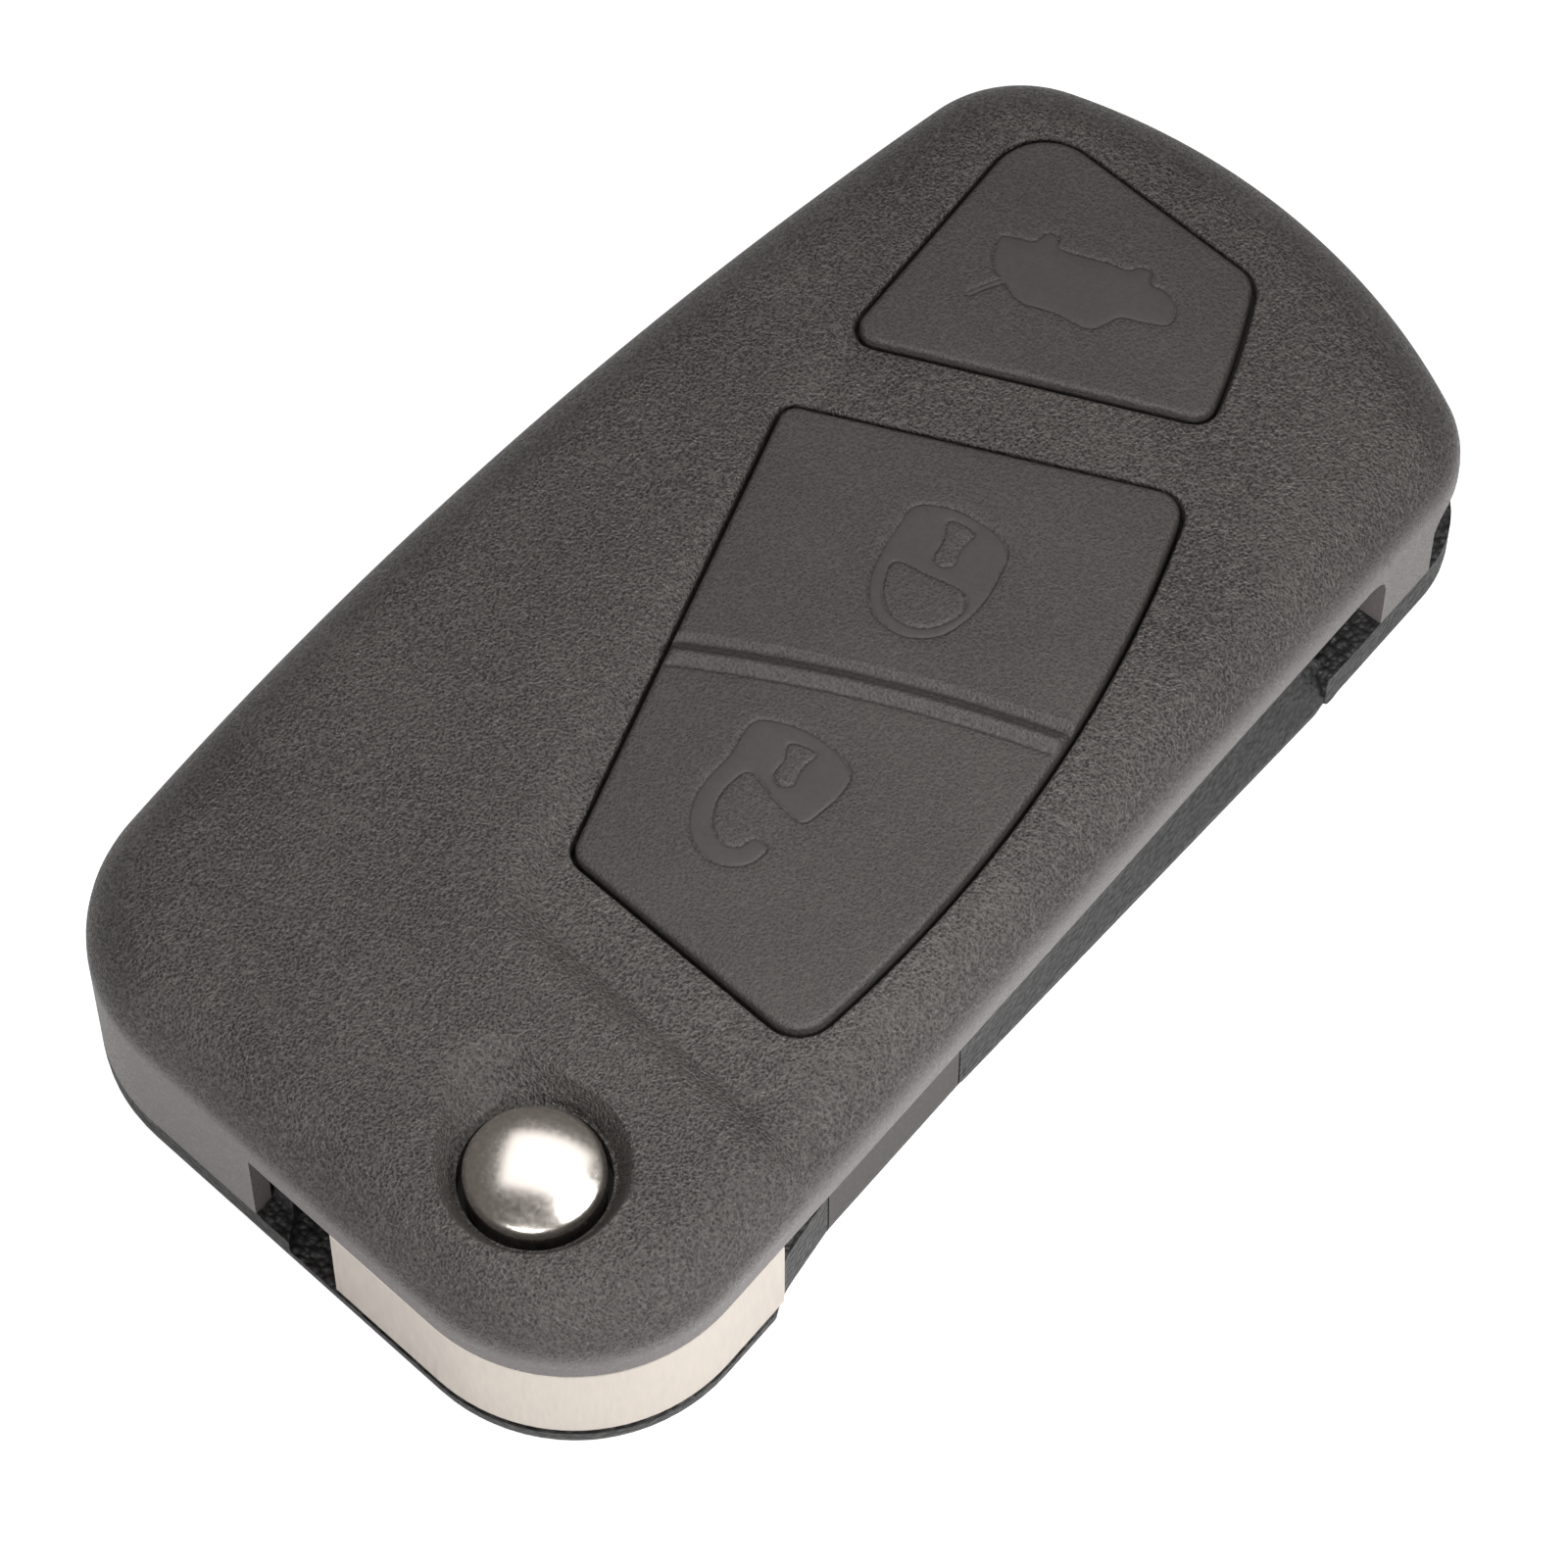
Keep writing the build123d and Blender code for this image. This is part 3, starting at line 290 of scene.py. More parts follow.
def rounded_loop(corners, inset=0.0, step=0.4):
    """Points round an outline with corners (x, y, corner radius, radius of the next side)."""
    sides = [side_between(a, b) for a, b in zip(corners, corners[1:] + corners[:1])]
    plain = [corner_arc(sides[i - 1], sides[i], c, 0.0) for i, c in enumerate(corners)]
    arcs = [corner_arc(sides[i - 1], sides[i], c, inset) for i, c in enumerate(corners)]
    points = []
    for i, side in enumerate(sides):
        centre, radius, start, turn = arcs[i]
        count = max(4, math.ceil(plain[i][1] * abs(plain[i][3]) / step))
        for k in range(count + 1):
            angle = start + turn * k / count
            points.append(centre + radius * np.array([math.cos(angle), math.sin(angle)]))
        after = arcs[(i + 1) % len(arcs)]
        a = points[-1]
        b = after[0] + after[1] * np.array([math.cos(after[2]), math.sin(after[2])])
        ends = [plain[i][0], plain[(i + 1) % len(arcs)][0]]
        count = max(2, math.ceil(np.linalg.norm(ends[1] - ends[0]) / step))
        for k in range(1, count):
            point = a + (b - a) * k / count
            if side["radius"]:
                spoke = point - side["centre"]
                point = side["centre"] + spoke * (side["radius"] - inset) / np.linalg.norm(spoke)
            points.append(point)
    return np.array(points)


# Each corner is x, y, its radius, and the radius of the bowed side after it or 0
CASE = [(20.2, 32.7, 6.0, 36.0), (-14.7, 35.6, 7.5, 240.0), (-19.2, -36.8, 9.5, 0), (20.2, -39.6, 10.0, 0)]
ROCKER = [(-8.9, 11.0, 0.9, 0), (-0.5, -16.2, 1.1, 0), (15.1, -17.1, 2.0, 75.0), (10.7, 19.9, 1.4, 0)]
BOOT = [(-9.1, 16.3, 1.0, 0), (8.7, 24.2, 1.1, 40.0), (5.3, 32.6, 1.6, 0), (-9.9, 33.2, 3.2, 0)]
LOW_PANEL = [(-0.3, -20.0, 4.0, 0), (60.0, -25.3, 1.0, 0), (60.0, 60.0, 1.0, 0), (-11.0, 45.0, 1.0, 220.0)]
print("case outline:", len(rounded_loop(CASE)), "points")

# %% Circles, and places against an outline
CHUNK = 2000


def circle(centre, radius, count=48):
    angles = np.arange(count) * math.tau / count
    return np.array(centre) + radius * np.column_stack([np.cos(angles), np.sin(angles)])


def encloses(points, loop):
    """Whether a closed line goes round each point."""
    bx, by = np.roll(loop, -1, axis=0).T
    ax, ay = loop.T
    rise = np.where(by == ay, 1.0, by - ay)
    result = []
    for chunk in np.array_split(points, len(points) // CHUNK + 1):
        level = (chunk[:, 1, None] - ay) / rise
        hits = (level >= 0) & (level < 1) & (by != ay) & (chunk[:, 0, None] < ax + level * (bx - ax))
        result.append(hits.sum(axis=1) % 2 == 1)
    return np.concatenate(result)


def depth_inside(points, loop):
    """Distance of each point from a closed line, positive inside it."""
    ax, ay = np.float32(loop).T
    ex, ey = np.float32(np.roll(loop, -1, axis=0) - loop).T
    square = ex * ex + ey * ey
    result = []
    for chunk in np.array_split(np.float32(points), len(points) // CHUNK + 1):
        gx = chunk[:, 0, None] - ax
        gy = chunk[:, 1, None] - ay
        share = np.clip((gx * ex + gy * ey) / square, 0, 1)
        gx -= share * ex
        gy -= share * ey
        result.append(np.sqrt((gx * gx + gy * gy).min(axis=1)))
    distance = np.concatenate(result).astype(float)
    return np.where(encloses(points, loop), distance, -distance)


print("depth at the middle:", round(float(depth_inside(np.zeros((1, 2)), rounded_loop(CASE))[0]), 2))

# %% [markdown]
# ## Solids from two sheets
#
# A moulding like the cap is a sheet of surface on top and a stepped sheet below, joined by
# upright walls. So each sheet is a flat triangulation of the plan with a height at every
# corner. Where two neighbouring triangles disagree about a height, a wall goes in. This
# keeps every mesh closed, lets rows of points follow each edge, and needs no boolean.

# %% Sheets
FAR_FRAME = [(-200.0, -200.0), (200.0, -200.0), (200.0, 200.0), (-200.0, 200.0)]


def triangulate(loops, points, cuts=()):
    """Plan points and triangles over closed loops, open cuts and loose points."""
    corners = []
    edges = []
    for line, closed in [(loop, True) for loop in loops] + [(cut, False) for cut in cuts]:
        start = len(corners)
        corners += [Vector(point) for point in line]
        edges += [(start + i, start + i + 1) for i in range(len(line) - 1)]
        if closed:
            edges.append((len(corners) - 1, start))
    corners += [Vector(point) for point in [*points, *FAR_FRAME]]
    plan = delaunay_2d_cdt(corners, edges, [], 0, 1e-6, False)
    return np.array([tuple(point) for point in plan[0]], float), np.array(plan[2])


def sheet(loops, points, layers, cuts=()):
    """Plan points, triangles and corner heights of a sheet painted in layers (surface, cover).

    A surface is a height, a function of plan points, or None for a hole, and a cover says
    which points it takes. Later layers lie over earlier ones.
    """
    plan, triangles = triangulate(loops, points, cuts)
    middle = plan[triangles].mean(axis=1)
    region = np.full(len(middle), -1)
    for number, (surface, covers) in enumerate(layers):
        region[covers(middle)] = -1 if surface is None else number
    triangles, region = triangles[region >= 0], region[region >= 0]
    surfaces = [surface(plan) if callable(surface) else np.full(len(plan), surface or 0.0)
                for surface, _ in layers]
    return plan, triangles, np.round(np.array(surfaces)[region[:, None], triangles], 5)


# %% Walls and closed meshes
SHARP_ANGLE = 35.0


def wall(low, high, here, there, heights):
    """Upright face between two plan points, with a corner at each height that others use."""
    first = [(*here, z) for z in sorted(heights[here]) if low[0] <= z <= high[0]]
    second = [(*there, z) for z in sorted(heights[there]) if low[1] <= z <= high[1]]
    return first[:1] + second + first[:0:-1]


def sheet_edges(plan_keys, triangles, heights):
    """Height at both ends of each edge, by its two plan points in the triangle's own turn."""
    edges = {}
    for triangle, height in zip(triangles.tolist(), heights.tolist()):
        for k in range(3):
            j = (k + 1) % 3
            edges[plan_keys[triangle[k]], plan_keys[triangle[j]]] = (height[k], height[j])
    return edges


def solid_between(name, top, under):
    """Closed mesh object between an upper and a lower sheet with the same rims."""
    faces = []
    walls = []
    rims = []
    for facing_up, (plan, triangles, heights) in ((True, top), (False, under)):
        keys = [(round(x, 4), round(y, 4)) for x, y in plan.tolist()]
        rim = {}
        for triangle, height in zip(triangles.tolist(), heights.tolist()):
            face = [(*keys[i], z) for i, z in zip(triangle, height)]
            faces.append(face if facing_up else face[::-1])
        edges = sheet_edges(keys, triangles, heights)
        for (here, there), own in edges.items():
            other = edges.get((there, here))
            if other is None:
                rim[here, there] = own
            elif facing_up and sum(own) > sum(other):
                walls.append((here, there, other[::-1], own))
            elif not facing_up and sum(own) < sum(other):
                walls.append((here, there, own, other[::-1]))
        rims.append(rim)
    walls += [(*edge, rims[1][edge], high) for edge, high in rims[0].items()]
    heights = {}
    for here, there, low, high in walls:
        heights.setdefault(here, set()).update((low[0], high[0]))
        heights.setdefault(there, set()).update((low[1], high[1]))
    faces += [wall(low, high, here, there, heights) for here, there, low, high in walls]
    return mesh_object(name, faces)


def mesh_object(name, faces):
    """Object from faces given as lists of (x, y, z) in millimetres, welded where they meet."""
    numbers = {}
    polygons = [[numbers.setdefault(corner, len(numbers)) for corner in face] for face in faces]
    polygons = [face for face in polygons if len(set(face)) > 2]
    mesh = bpy.data.meshes.new(name)
    mesh.from_pydata([(x * MM, y * MM, z * MM) for x, y, z in numbers], [], polygons)
    mesh.polygons.foreach_set("use_smooth", [True] * len(mesh.polygons))
    mesh.set_sharp_from_angle(angle=math.radians(SHARP_ANGLE))
    mesh.update()
    print(name, len(mesh.polygons), "faces")
    return add_object(name, mesh)


# %% Grids, rows and rounded edges
def honeycomb(step, low, high):
    """Grid of points in even triangles over a rectangle."""
    rows = np.arange(low[1], high[1], step * math.sqrt(0.75))
    points = []
    for i, y in enumerate(rows):
        xs = np.arange(low[0] + (i % 2) * step / 2, high[0], step)
        points.append(np.column_stack([xs, np.full(len(xs), y)]))
    return np.concatenate(points)


def thinned(points, rows, gap):
    """Points that keep a gap from every point of the rows."""
    tree = KDTree(len(rows))
    for i, (x, y) in enumerate(rows):
        tree.insert((x, y, 0), i)
    tree.balance()
    return points[[tree.find((x, y, 0))[2] > gap for x, y in points]]


def soft_max(a, b, width):
    """The larger of two heights, blended where they come within a width of each other."""
    near = np.maximum(width - np.abs(a - b), 0) / width
    return np.maximum(a, b) + near ** 2 * width / 4


def edge_drop(depth, radius):
    """How far a rounded edge falls below the face, by the depth inside the outline."""
    left = np.clip(radius - depth, 0, radius)
    return radius - np.sqrt(radius ** 2 - left ** 2)


def edge_rows(corners, radius, count):
    """Rows of points round an outline, closer together towards a rounded edge's rim."""
    turns = [math.pi / 2 * k / count for k in range(1, count + 1)]
    insets = [radius * (1 - math.cos(turn)) for turn in turns]
    return np.concatenate([rounded_loop(corners, inset) for inset in insets])


print("points of a grid:", len(honeycomb(1.0, (0, 0), (10, 10))))

# %% [markdown]
# ## The cap's outer face
#
# The cap rises softly round the button panel: a raised area runs down its left side and
# across the hub end, and falls to the panel in a slope two millimetres wide. Its upper
# edge is soft and its foot is crisp. All of this is one height over the plan, so it can
# be written as a formula: panel, plus raised area, less the rounded edge, less the
# teardrop hollow round the release button.

# %% Height of the cap
HALF_LENGTH = 38.8
PANEL_Z = 15.0
TOP_EDGE_R = 3.8
PLATEAU_RISE = 1.1
PLATEAU_END_Y = 29.0
CREASE_TILT = 0.577
CREASE_TOP_SOFT = 0.42
CREASE_FOOT_SOFT = 0.14
PAD_GAP = 0.27
HOLE_EDGE_R = 0.2
PIVOT = np.array((9.4, -30.7))
DOME_HOLE_R = 3.92
DIMPLE_FLOOR_Z = 14.2
DIMPLE_DEPTH = 1.9
DIMPLE_MOUTH = (4.95, (-4.35, 2.15), 2.75)
DIMPLE_TOE = (4.1, (-3.2, 1.6), 1.3)
DIMPLE_WIDTH = 0.85
DIMPLE_STEPS = 140
DIMPLE_SIDE_STEP = 0.3
DIMPLE_FLOOR_SOFT = 0.3
DIMPLE_MOUTH_SOFT = 0.16

case_loop = rounded_loop(CASE)
crease_loop = rounded_loop(LOW_PANEL, step=0.5)
rocker_hole = rounded_loop(ROCKER, -PAD_GAP)
boot_hole = rounded_loop(BOOT, -PAD_GAP)
dome_hole = circle(PIVOT, DOME_HOLE_R, 96)


def teardrop_depth(points, radius, apex, apex_radius):
    """Depth inside the hull of a circle about the pivot and a smaller one at the apex."""
    length = math.hypot(*apex)
    axis = np.array(apex) / length
    along = (points - PIVOT) @ axis
    across = np.abs((points - PIVOT) @ np.array([-axis[1], axis[0]]))
    sine = (radius - apex_radius) / length
    cosine = math.sqrt(1 - sine ** 2)
    share = along * cosine - across * sine
    side = across * cosine + along * sine - radius
    near = np.hypot(across, along) - radius
    far = np.hypot(across, along - length) - apex_radius
    return -np.where(share < 0, near, np.where(share > cosine * length, far, side))


def teardrop_loop(share):
    """Points round the hollow, from its floor at share 0 to its mouth at share 1."""
    radius, apex, apex_radius = (
        np.array(toe) + (np.array(mouth) - np.array(toe)) * share
        for toe, mouth in zip(DIMPLE_TOE, DIMPLE_MOUTH))
    points = []
    for angle in np.arange(DIMPLE_STEPS) * math.tau / DIMPLE_STEPS:
        way = np.array([math.cos(angle), math.sin(angle)])
        centre = apex if apex @ way + apex_radius > radius else np.zeros(2)
        points.append(PIVOT + centre + way * (apex_radius if centre.any() else radius))
    points = np.array(points)
    after = np.roll(points, -1, axis=0)
    gaps = np.linalg.norm(after - points, axis=1)
    # The straight sides get points of their own, from the last side to the first
    for i in np.where(gaps > 1.0)[0][::-1]:
        steps = np.linspace(0, 1, int(gaps[i] / DIMPLE_SIDE_STEP) + 2)[1:-1, None]
        points = np.insert(points, i + 1, points[i] + (after[i] - points[i]) * steps, axis=0)
    return points


def cap_height(points):
    """Height of the cap's outer face over each plan point."""
    over = -depth_inside(points, crease_loop)
    lean = PLATEAU_RISE * (PLATEAU_END_Y - points[:, 1]) / (PLATEAU_END_Y + HALF_LENGTH)
    raised = -soft_max(-CREASE_TILT * over, -lean, CREASE_TOP_SOFT)
    raised = soft_max(raised, 0.0, CREASE_FOOT_SOFT)
    face = PANEL_Z + raised - edge_drop(depth_inside(points, case_loop), TOP_EDGE_R)
    for hole in (rocker_hole, boot_hole):
        face -= edge_drop(-depth_inside(points, hole), HOLE_EDGE_R)
    mouth = teardrop_depth(points, *DIMPLE_MOUTH)
    floor = -teardrop_depth(points, *DIMPLE_TOE)
    share = np.where(floor < 0, floor / DIMPLE_WIDTH, floor / np.maximum(floor + mouth, 1e-6))
    share = np.where(mouth < 0, 1 - mouth / DIMPLE_WIDTH, share)
    hollow = DIMPLE_FLOOR_Z + soft_max(DIMPLE_DEPTH * share, 0.0, DIMPLE_FLOOR_SOFT)
    return -soft_max(-face, -hollow, DIMPLE_MOUTH_SOFT)


for spot in ((-13.0, 0.0), (0.0, 17.7)):
    print("cap height at", spot, round(float(cap_height(np.array([spot]))[0]), 2))

# %% [markdown]
# ## The cap
#
# Seen from below the cap is a thin skin with a deep skirt on its left and far sides,
# a round bearing for the hub, two screw pillars and the posts that hold the keypad.
# Those steps are painted one over another as flat layers, each with its height.

# %% Steps under the cap
LIP_Z = 10.6
PARTING_Z = 4.4
ROOF_UNDER_Z = 13.7
CAP_WALL = 2.2
SKIRT_WALL = 1.2
POST_WALL = 1.9
POST_FOOT_Z = 5.4
POST_Y = (25.1, 29.3)
POST_CORNER_R = 1.5
NOTCH_X = -3.4
RING_X = 12.7
RING_Y = 19.5
PILLAR_R = 10.8
CUT_END_X = 19.0
SCREWS = [(-10.5, -29.7), (10.2, 30.2)]
PEG = (-8.0, -13.5)
PLATE_SCREW = (-13.2, 8.0)
# Place, radius, height and number of sides of each round step, a bore after its boss
ROUND_STEPS = [
    *[(place, *step) for place in SCREWS for step in ((2.25, 6.0, 32), (0.8, 11.15, 32))],
    (PEG, 1.3, 11.25, 24),
    (PEG, 0.75, 10.65, 20),
    (PLATE_SCREW, 1.3, 11.25, 24),
    (PLATE_SCREW, 0.65, ROOF_UNDER_Z, 20),
    (PIVOT, 6.95, 12.35, 96),
]


def inside(loop):
    return lambda points: encloses(points, loop)


def within(centre, radius):
    return lambda points: np.hypot(*(points - np.array(centre)).T) < radius


def split_loop(loop, axis, value, side):
    """Loop with one more point where it crosses a line on the given side, and that point."""
    after = np.roll(loop, -1, axis=0)
    crosses = (loop[:, axis] - value) * (after[:, axis] - value) < 0
    i = np.where(crosses & (loop[:, 1 - axis] * side > 0))[0][0]
    share = (value - loop[i, axis]) / (after[i, axis] - loop[i, axis])
    point = np.float32(loop[i] + (after[i] - loop[i]) * share).astype(float)
    return np.insert(loop, i + 1, point, axis=0), point


rim_loop, notch_rim = split_loop(case_loop, 0, NOTCH_X, -1)
rim_loop, ring_rim = split_loop(rim_loop, 0, RING_X, 1)
rim_loop, post_near = split_loop(rim_loop, 1, POST_Y[0], 1)
rim_loop, post_far = split_loop(rim_loop, 1, POST_Y[1], 1)
holes = [rocker_hole, boot_hole, dome_hole]


def in_holes(points):
    in_pads = inside(rocker_hole)(points) | inside(boot_hole)(points)
    return in_pads | within(PIVOT, DOME_HOLE_R)(points)


def lip_height(points):
    """Under edge of the cap's side, rounded where it meets the post in the corner."""
    gap = np.maximum(POST_Y[0] - points[:, 1], points[:, 1] - POST_Y[1])
    drop = edge_drop(np.maximum(gap, 0), POST_CORNER_R)
    return LIP_Z - np.where(points[:, 0] > 0, drop, 0)


print("cap's rim:", len(rim_loop), "points, round steps:", len(ROUND_STEPS))

# %% Cap mesh
UNDER_STEP = 0.8
GRID_STEP = 0.5
GRID_BOX = ((-20, -38), (20, 39))
ROW_GAP = 0.28
CREASE_ROWS = np.arange(-0.45, 3.2, 0.15)
HOLLOW_ROWS = (-0.3, -0.1, 0, 0.1, 0.25, 0.45, 0.65, 0.8, 0.9, 1, 1.1, 1.25, 1.5)
HOLE_ROWS = (0.04, 0.09, 0.15, HOLE_EDGE_R)


def cap_rows():
    """Rows of points along the cap's edges, crease and hollow, and a grid between them."""
    crease = np.concatenate([rounded_loop(LOW_PANEL, -out, 0.5) for out in CREASE_ROWS])
    crease = crease[depth_inside(crease, case_loop) > TOP_EDGE_R + 0.1]
    crease = crease[teardrop_depth(crease, *DIMPLE_MOUTH) < -0.6]
    hollow = [teardrop_loop(share) for share in HOLLOW_ROWS]
    rims = [rounded_loop(pad, -PAD_GAP - out) for pad in (ROCKER, BOOT) for out in HOLE_ROWS]
    rows = np.concatenate([edge_rows(CASE, TOP_EDGE_R, count=12), *rims, crease, *hollow])
    grid = honeycomb(GRID_STEP, *GRID_BOX)
    grid = grid[depth_inside(grid, case_loop) > TOP_EDGE_R + 0.2]
    points = np.concatenate([rows, thinned(grid, rows, ROW_GAP)])
    return points[~in_holes(points) & (depth_inside(points, case_loop) > 0.001)]


def cap_mesh():
    """The cap between its outer face and the flat steps of its under side."""
    wall_loop, skirt_loop, post_loop = (
        rounded_loop(CASE, thickness, UNDER_STEP) for thickness in (CAP_WALL, SKIRT_WALL, POST_WALL))
    clear = inside(wall_loop)
    layers = [
        (lip_height, inside(case_loop)),
        (ROOF_UNDER_Z, clear),
        (PARTING_Z, lambda p: inside(case_loop)(p) & ~inside(skirt_loop)(p) & (p[:, 0] < RING_X)
         & ((p[:, 0] < NOTCH_X) | (p[:, 1] > 0))),
        (POST_FOOT_Z, lambda p: inside(case_loop)(p) & ~inside(post_loop)(p) & (p[:, 0] > 0)
         & (p[:, 1] > POST_Y[0]) & (p[:, 1] < POST_Y[1])),
        (LIP_Z, lambda p: clear(p) & within(PIVOT, PILLAR_R)(p)),
        (LIP_Z, lambda p: clear(p) & (p[:, 0] > PIVOT[0]) & (p[:, 1] < PIVOT[1] + PILLAR_R)),
        (LIP_Z, lambda p: clear(p) & (p[:, 0] > RING_X) & (p[:, 1] > RING_Y)),
        *[(height, within(place, radius)) for place, radius, height, _ in ROUND_STEPS],
        (None, in_holes),
    ]
    pillar = circle(PIVOT, PILLAR_R, 140)
    pillar = np.roll(pillar, -np.argmax(depth_inside(pillar, case_loop) < 1.0), axis=0)
    pillar = pillar[depth_inside(pillar, case_loop) > 1.0]
    cuts = [
        [notch_rim, notch_rim + (0, 3)],
        [ring_rim, (RING_X, RING_Y), (CUT_END_X, RING_Y)],
        [post_near, post_near - (3, 0)],
        [post_far, post_far - (3, 0)],
        [(PIVOT[0], PIVOT[1] + PILLAR_R), (CUT_END_X, PIVOT[1] + PILLAR_R)],
        pillar,
    ]
    rounds = [circle(place, radius, sides) for place, radius, _, sides in ROUND_STEPS]
    rounds += [wall_loop, skirt_loop, post_loop]
    top = sheet([rim_loop, *holes], cap_rows(), [(cap_height, inside(case_loop)), (None, in_holes)])
    below = sheet([rim_loop, *holes, *rounds], [], layers, cuts)
    return solid_between("cap", top, below)


cap = cap_mesh()
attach(cap, "case")
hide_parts("upper_shell")

# %% [markdown]
# ## Pictograms
#
# The pads carry three plain pictograms: a closed padlock, an open one and a car with its
# boot up. On the mould they are polished shapes with a fine step round them, so each is a
# smooth closed line. The line is pressed a few hundredths of a millimetre into the pad,
# and the face inside it is marked, so that the grain can be left off there.

# %% Lines of the pictograms
PICTOGRAMS = {
    "lock": {
        "faces": [[(0.2, 10.55), (1.9, 11.65), (4.3, 11.9), (5.6, 11.4), (6.1, 10.1), (6.45, 8.6),
                   (6.45, 6.9), (5.9, 5.2), (4.4, 4.1), (2.5, 4.2), (1.25, 5.4), (0.6, 7.0), (0.25, 8.9)]],
        "gaps": [[(1.45, 7.25), (3.3, 7.75), (5.1, 8.1), (5.85, 7.7), (5.95, 6.7), (5.3, 5.4), (4.2, 4.75),
                  (2.9, 4.85), (1.95, 5.7)],
                 [(2.15, 10.95), (3.55, 11.2), (3.6, 10.2), (3.75, 9.5), (3.9, 9.0), (3.45, 8.55),
                  (2.85, 8.7), (2.7, 9.2), (2.6, 9.8)]],
    },
    "unlock": {
        "faces": [[(1.75, -4.75), (2.6, -3.85), (4.4, -3.25), (6.2, -3.25), (7.5, -3.75), (7.85, -4.9),
                   (7.75, -6.3), (7.35, -7.5), (5.5, -7.35), (3.6, -6.9), (3.15, -7.9), (3.25, -9.2),
                   (3.9, -10.4), (4.9, -10.9), (5.75, -10.6), (6.1, -9.7), (6.95, -9.75), (6.85, -10.9),
                   (6.0, -11.8), (4.7, -12.1), (3.3, -11.5), (2.4, -10.2), (2.05, -8.6), (2.05, -6.8)]],
        "gaps": [[(4.05, -4.35), (5.4, -3.95), (5.4, -4.9), (5.5, -5.6), (5.65, -6.1), (5.2, -6.55),
                  (4.6, -6.4), (4.45, -5.9), (4.4, -5.3)]],
    },
    "boot": {
        "faces": [[(-6.65, 26.2), (-6.4, 25.3), (-5.8, 24.5), (-4.9, 24.1), (-3.9, 23.75), (-3.1, 23.7),
                   (-1.5, 24.25), (0.4, 24.6), (0.95, 25.4), (1.3, 26.2), (2.5, 26.8), (3.55, 27.5),
                   (3.2, 28.6), (2.2, 29.0), (1.3, 28.9), (0.8, 29.5), (0.2, 29.3), (-0.2, 28.8),
                   (-1.4, 28.45), (-2.6, 27.95), (-3.8, 27.6), (-4.3, 28.1), (-4.9, 27.9), (-5.1, 27.1),
                   (-5.9, 26.7)],
                  [(-5.9, 22.35), (-5.65, 22.25), (-5.2, 23.2), (-4.75, 24.0), (-5.05, 24.1), (-5.5, 23.2)]],
        "gaps": [],
    },
}
LINE_DEPTH = 0.09
LINE_SOFT = 0.08
FACE_DEPTH = 0.03
LINE_STEP = 0.12
LINE_ROWS = (0, 0.05, -0.05, 0.11, -0.11, 0.18, -0.18)


def smooth_loop(points):
    """Closed curve through points, sampled evenly enough for rows beside it."""
    points = np.array(points, float)
    before, after, beyond = (np.roll(points, shift, axis=0) for shift in (1, -1, -2))
    result = []
    for a, b, c, d in zip(before, points, after, beyond):
        count = max(2, math.ceil(np.linalg.norm(c - b) / LINE_STEP))
        t = np.arange(count)[:, None] / count
        result.append(b + 0.5 * t * (c - a + t * (2 * a - 5 * b + 4 * c - d + t * (3 * (b - c) + d - a))))
    return np.concatenate(result)


def beside(loop, distance):
    """The same line, moved sideways."""
    along = np.roll(loop, -1, axis=0) - np.roll(loop, 1, axis=0)
    along /= np.linalg.norm(along, axis=1)[:, None]
    return loop + distance * np.column_stack([along[:, 1], -along[:, 0]])


def pictogram_lines(*names):
    """Closed lines of the faces, and of the gaps in them, of some pictograms together."""
    return [[smooth_loop(line) for name in names for line in PICTOGRAMS[name][part]]
            for part in ("faces", "gaps")]


def pictogram_face(points, lines):
    """How far each point lies inside a pictogram's polished face, negative outside it."""
    faces, gaps = lines
    depth = np.max([depth_inside(points, line) for line in faces], axis=0)
    for line in gaps:
        depth = np.minimum(depth, -depth_inside(points, line))
    return depth


boot_lines = pictogram_lines("boot")
lock_lines = pictogram_lines("lock", "unlock")
print("pictogram lines:", [len(group) for group in (*boot_lines, *lock_lines)])

# %% [markdown]
# ## The two pads
#
# Both pads are thin rubber-like mouldings with a flange that keeps them under the cap.
# The long one is pressed at either end, for lock and unlock, and a curved bead across its
# middle marks where it rocks. The bead's far flank falls into a small valley first.

# %% Pad meshes
PAD_TOP_Z = 15.35
PAD_EDGE_R = 0.3
PAD_TOP = 1.3
PAD_WALL = 1.1
FLANGE_REACH = 0.8
FLANGE_THICKNESS = 0.65
BOOT_FLANGE_Z = 12.95
ROCKER_FLANGE_Z = 12.45
BEAD_LINE = ((-4.3, -4.4), (14.8, 4.3))
BEAD_ARC_R = 82.0
BEAD_HALF = 0.5
BEAD_RISE = 0.3
VALLEY_AT = 0.9
VALLEY_HALF = 0.45
VALLEY_DEPTH = 0.28
FOOT_AT = -0.62
FOOT_HALF = 0.24
FOOT_DEPTH = 0.12
BEAD_ROWS = np.arange(-0.9, 1.45, 0.08)
RIB_HALF = 0.5
RIB_FOOT_Z = 11.85

bead_side = side_between((*BEAD_LINE[1], 0, BEAD_ARC_R), BEAD_LINE[0])


def bead_distance(points):
    """Distance beyond the bead's line, positive towards the far end of the key."""
    return np.hypot(*(points - bead_side["centre"]).T) - BEAD_ARC_R


def bump(distance, half):
    """1 in the middle of a band and 0 at its sides, smooth at both."""
    return np.clip(1 - (distance / half) ** 2, 0, 1) ** 2


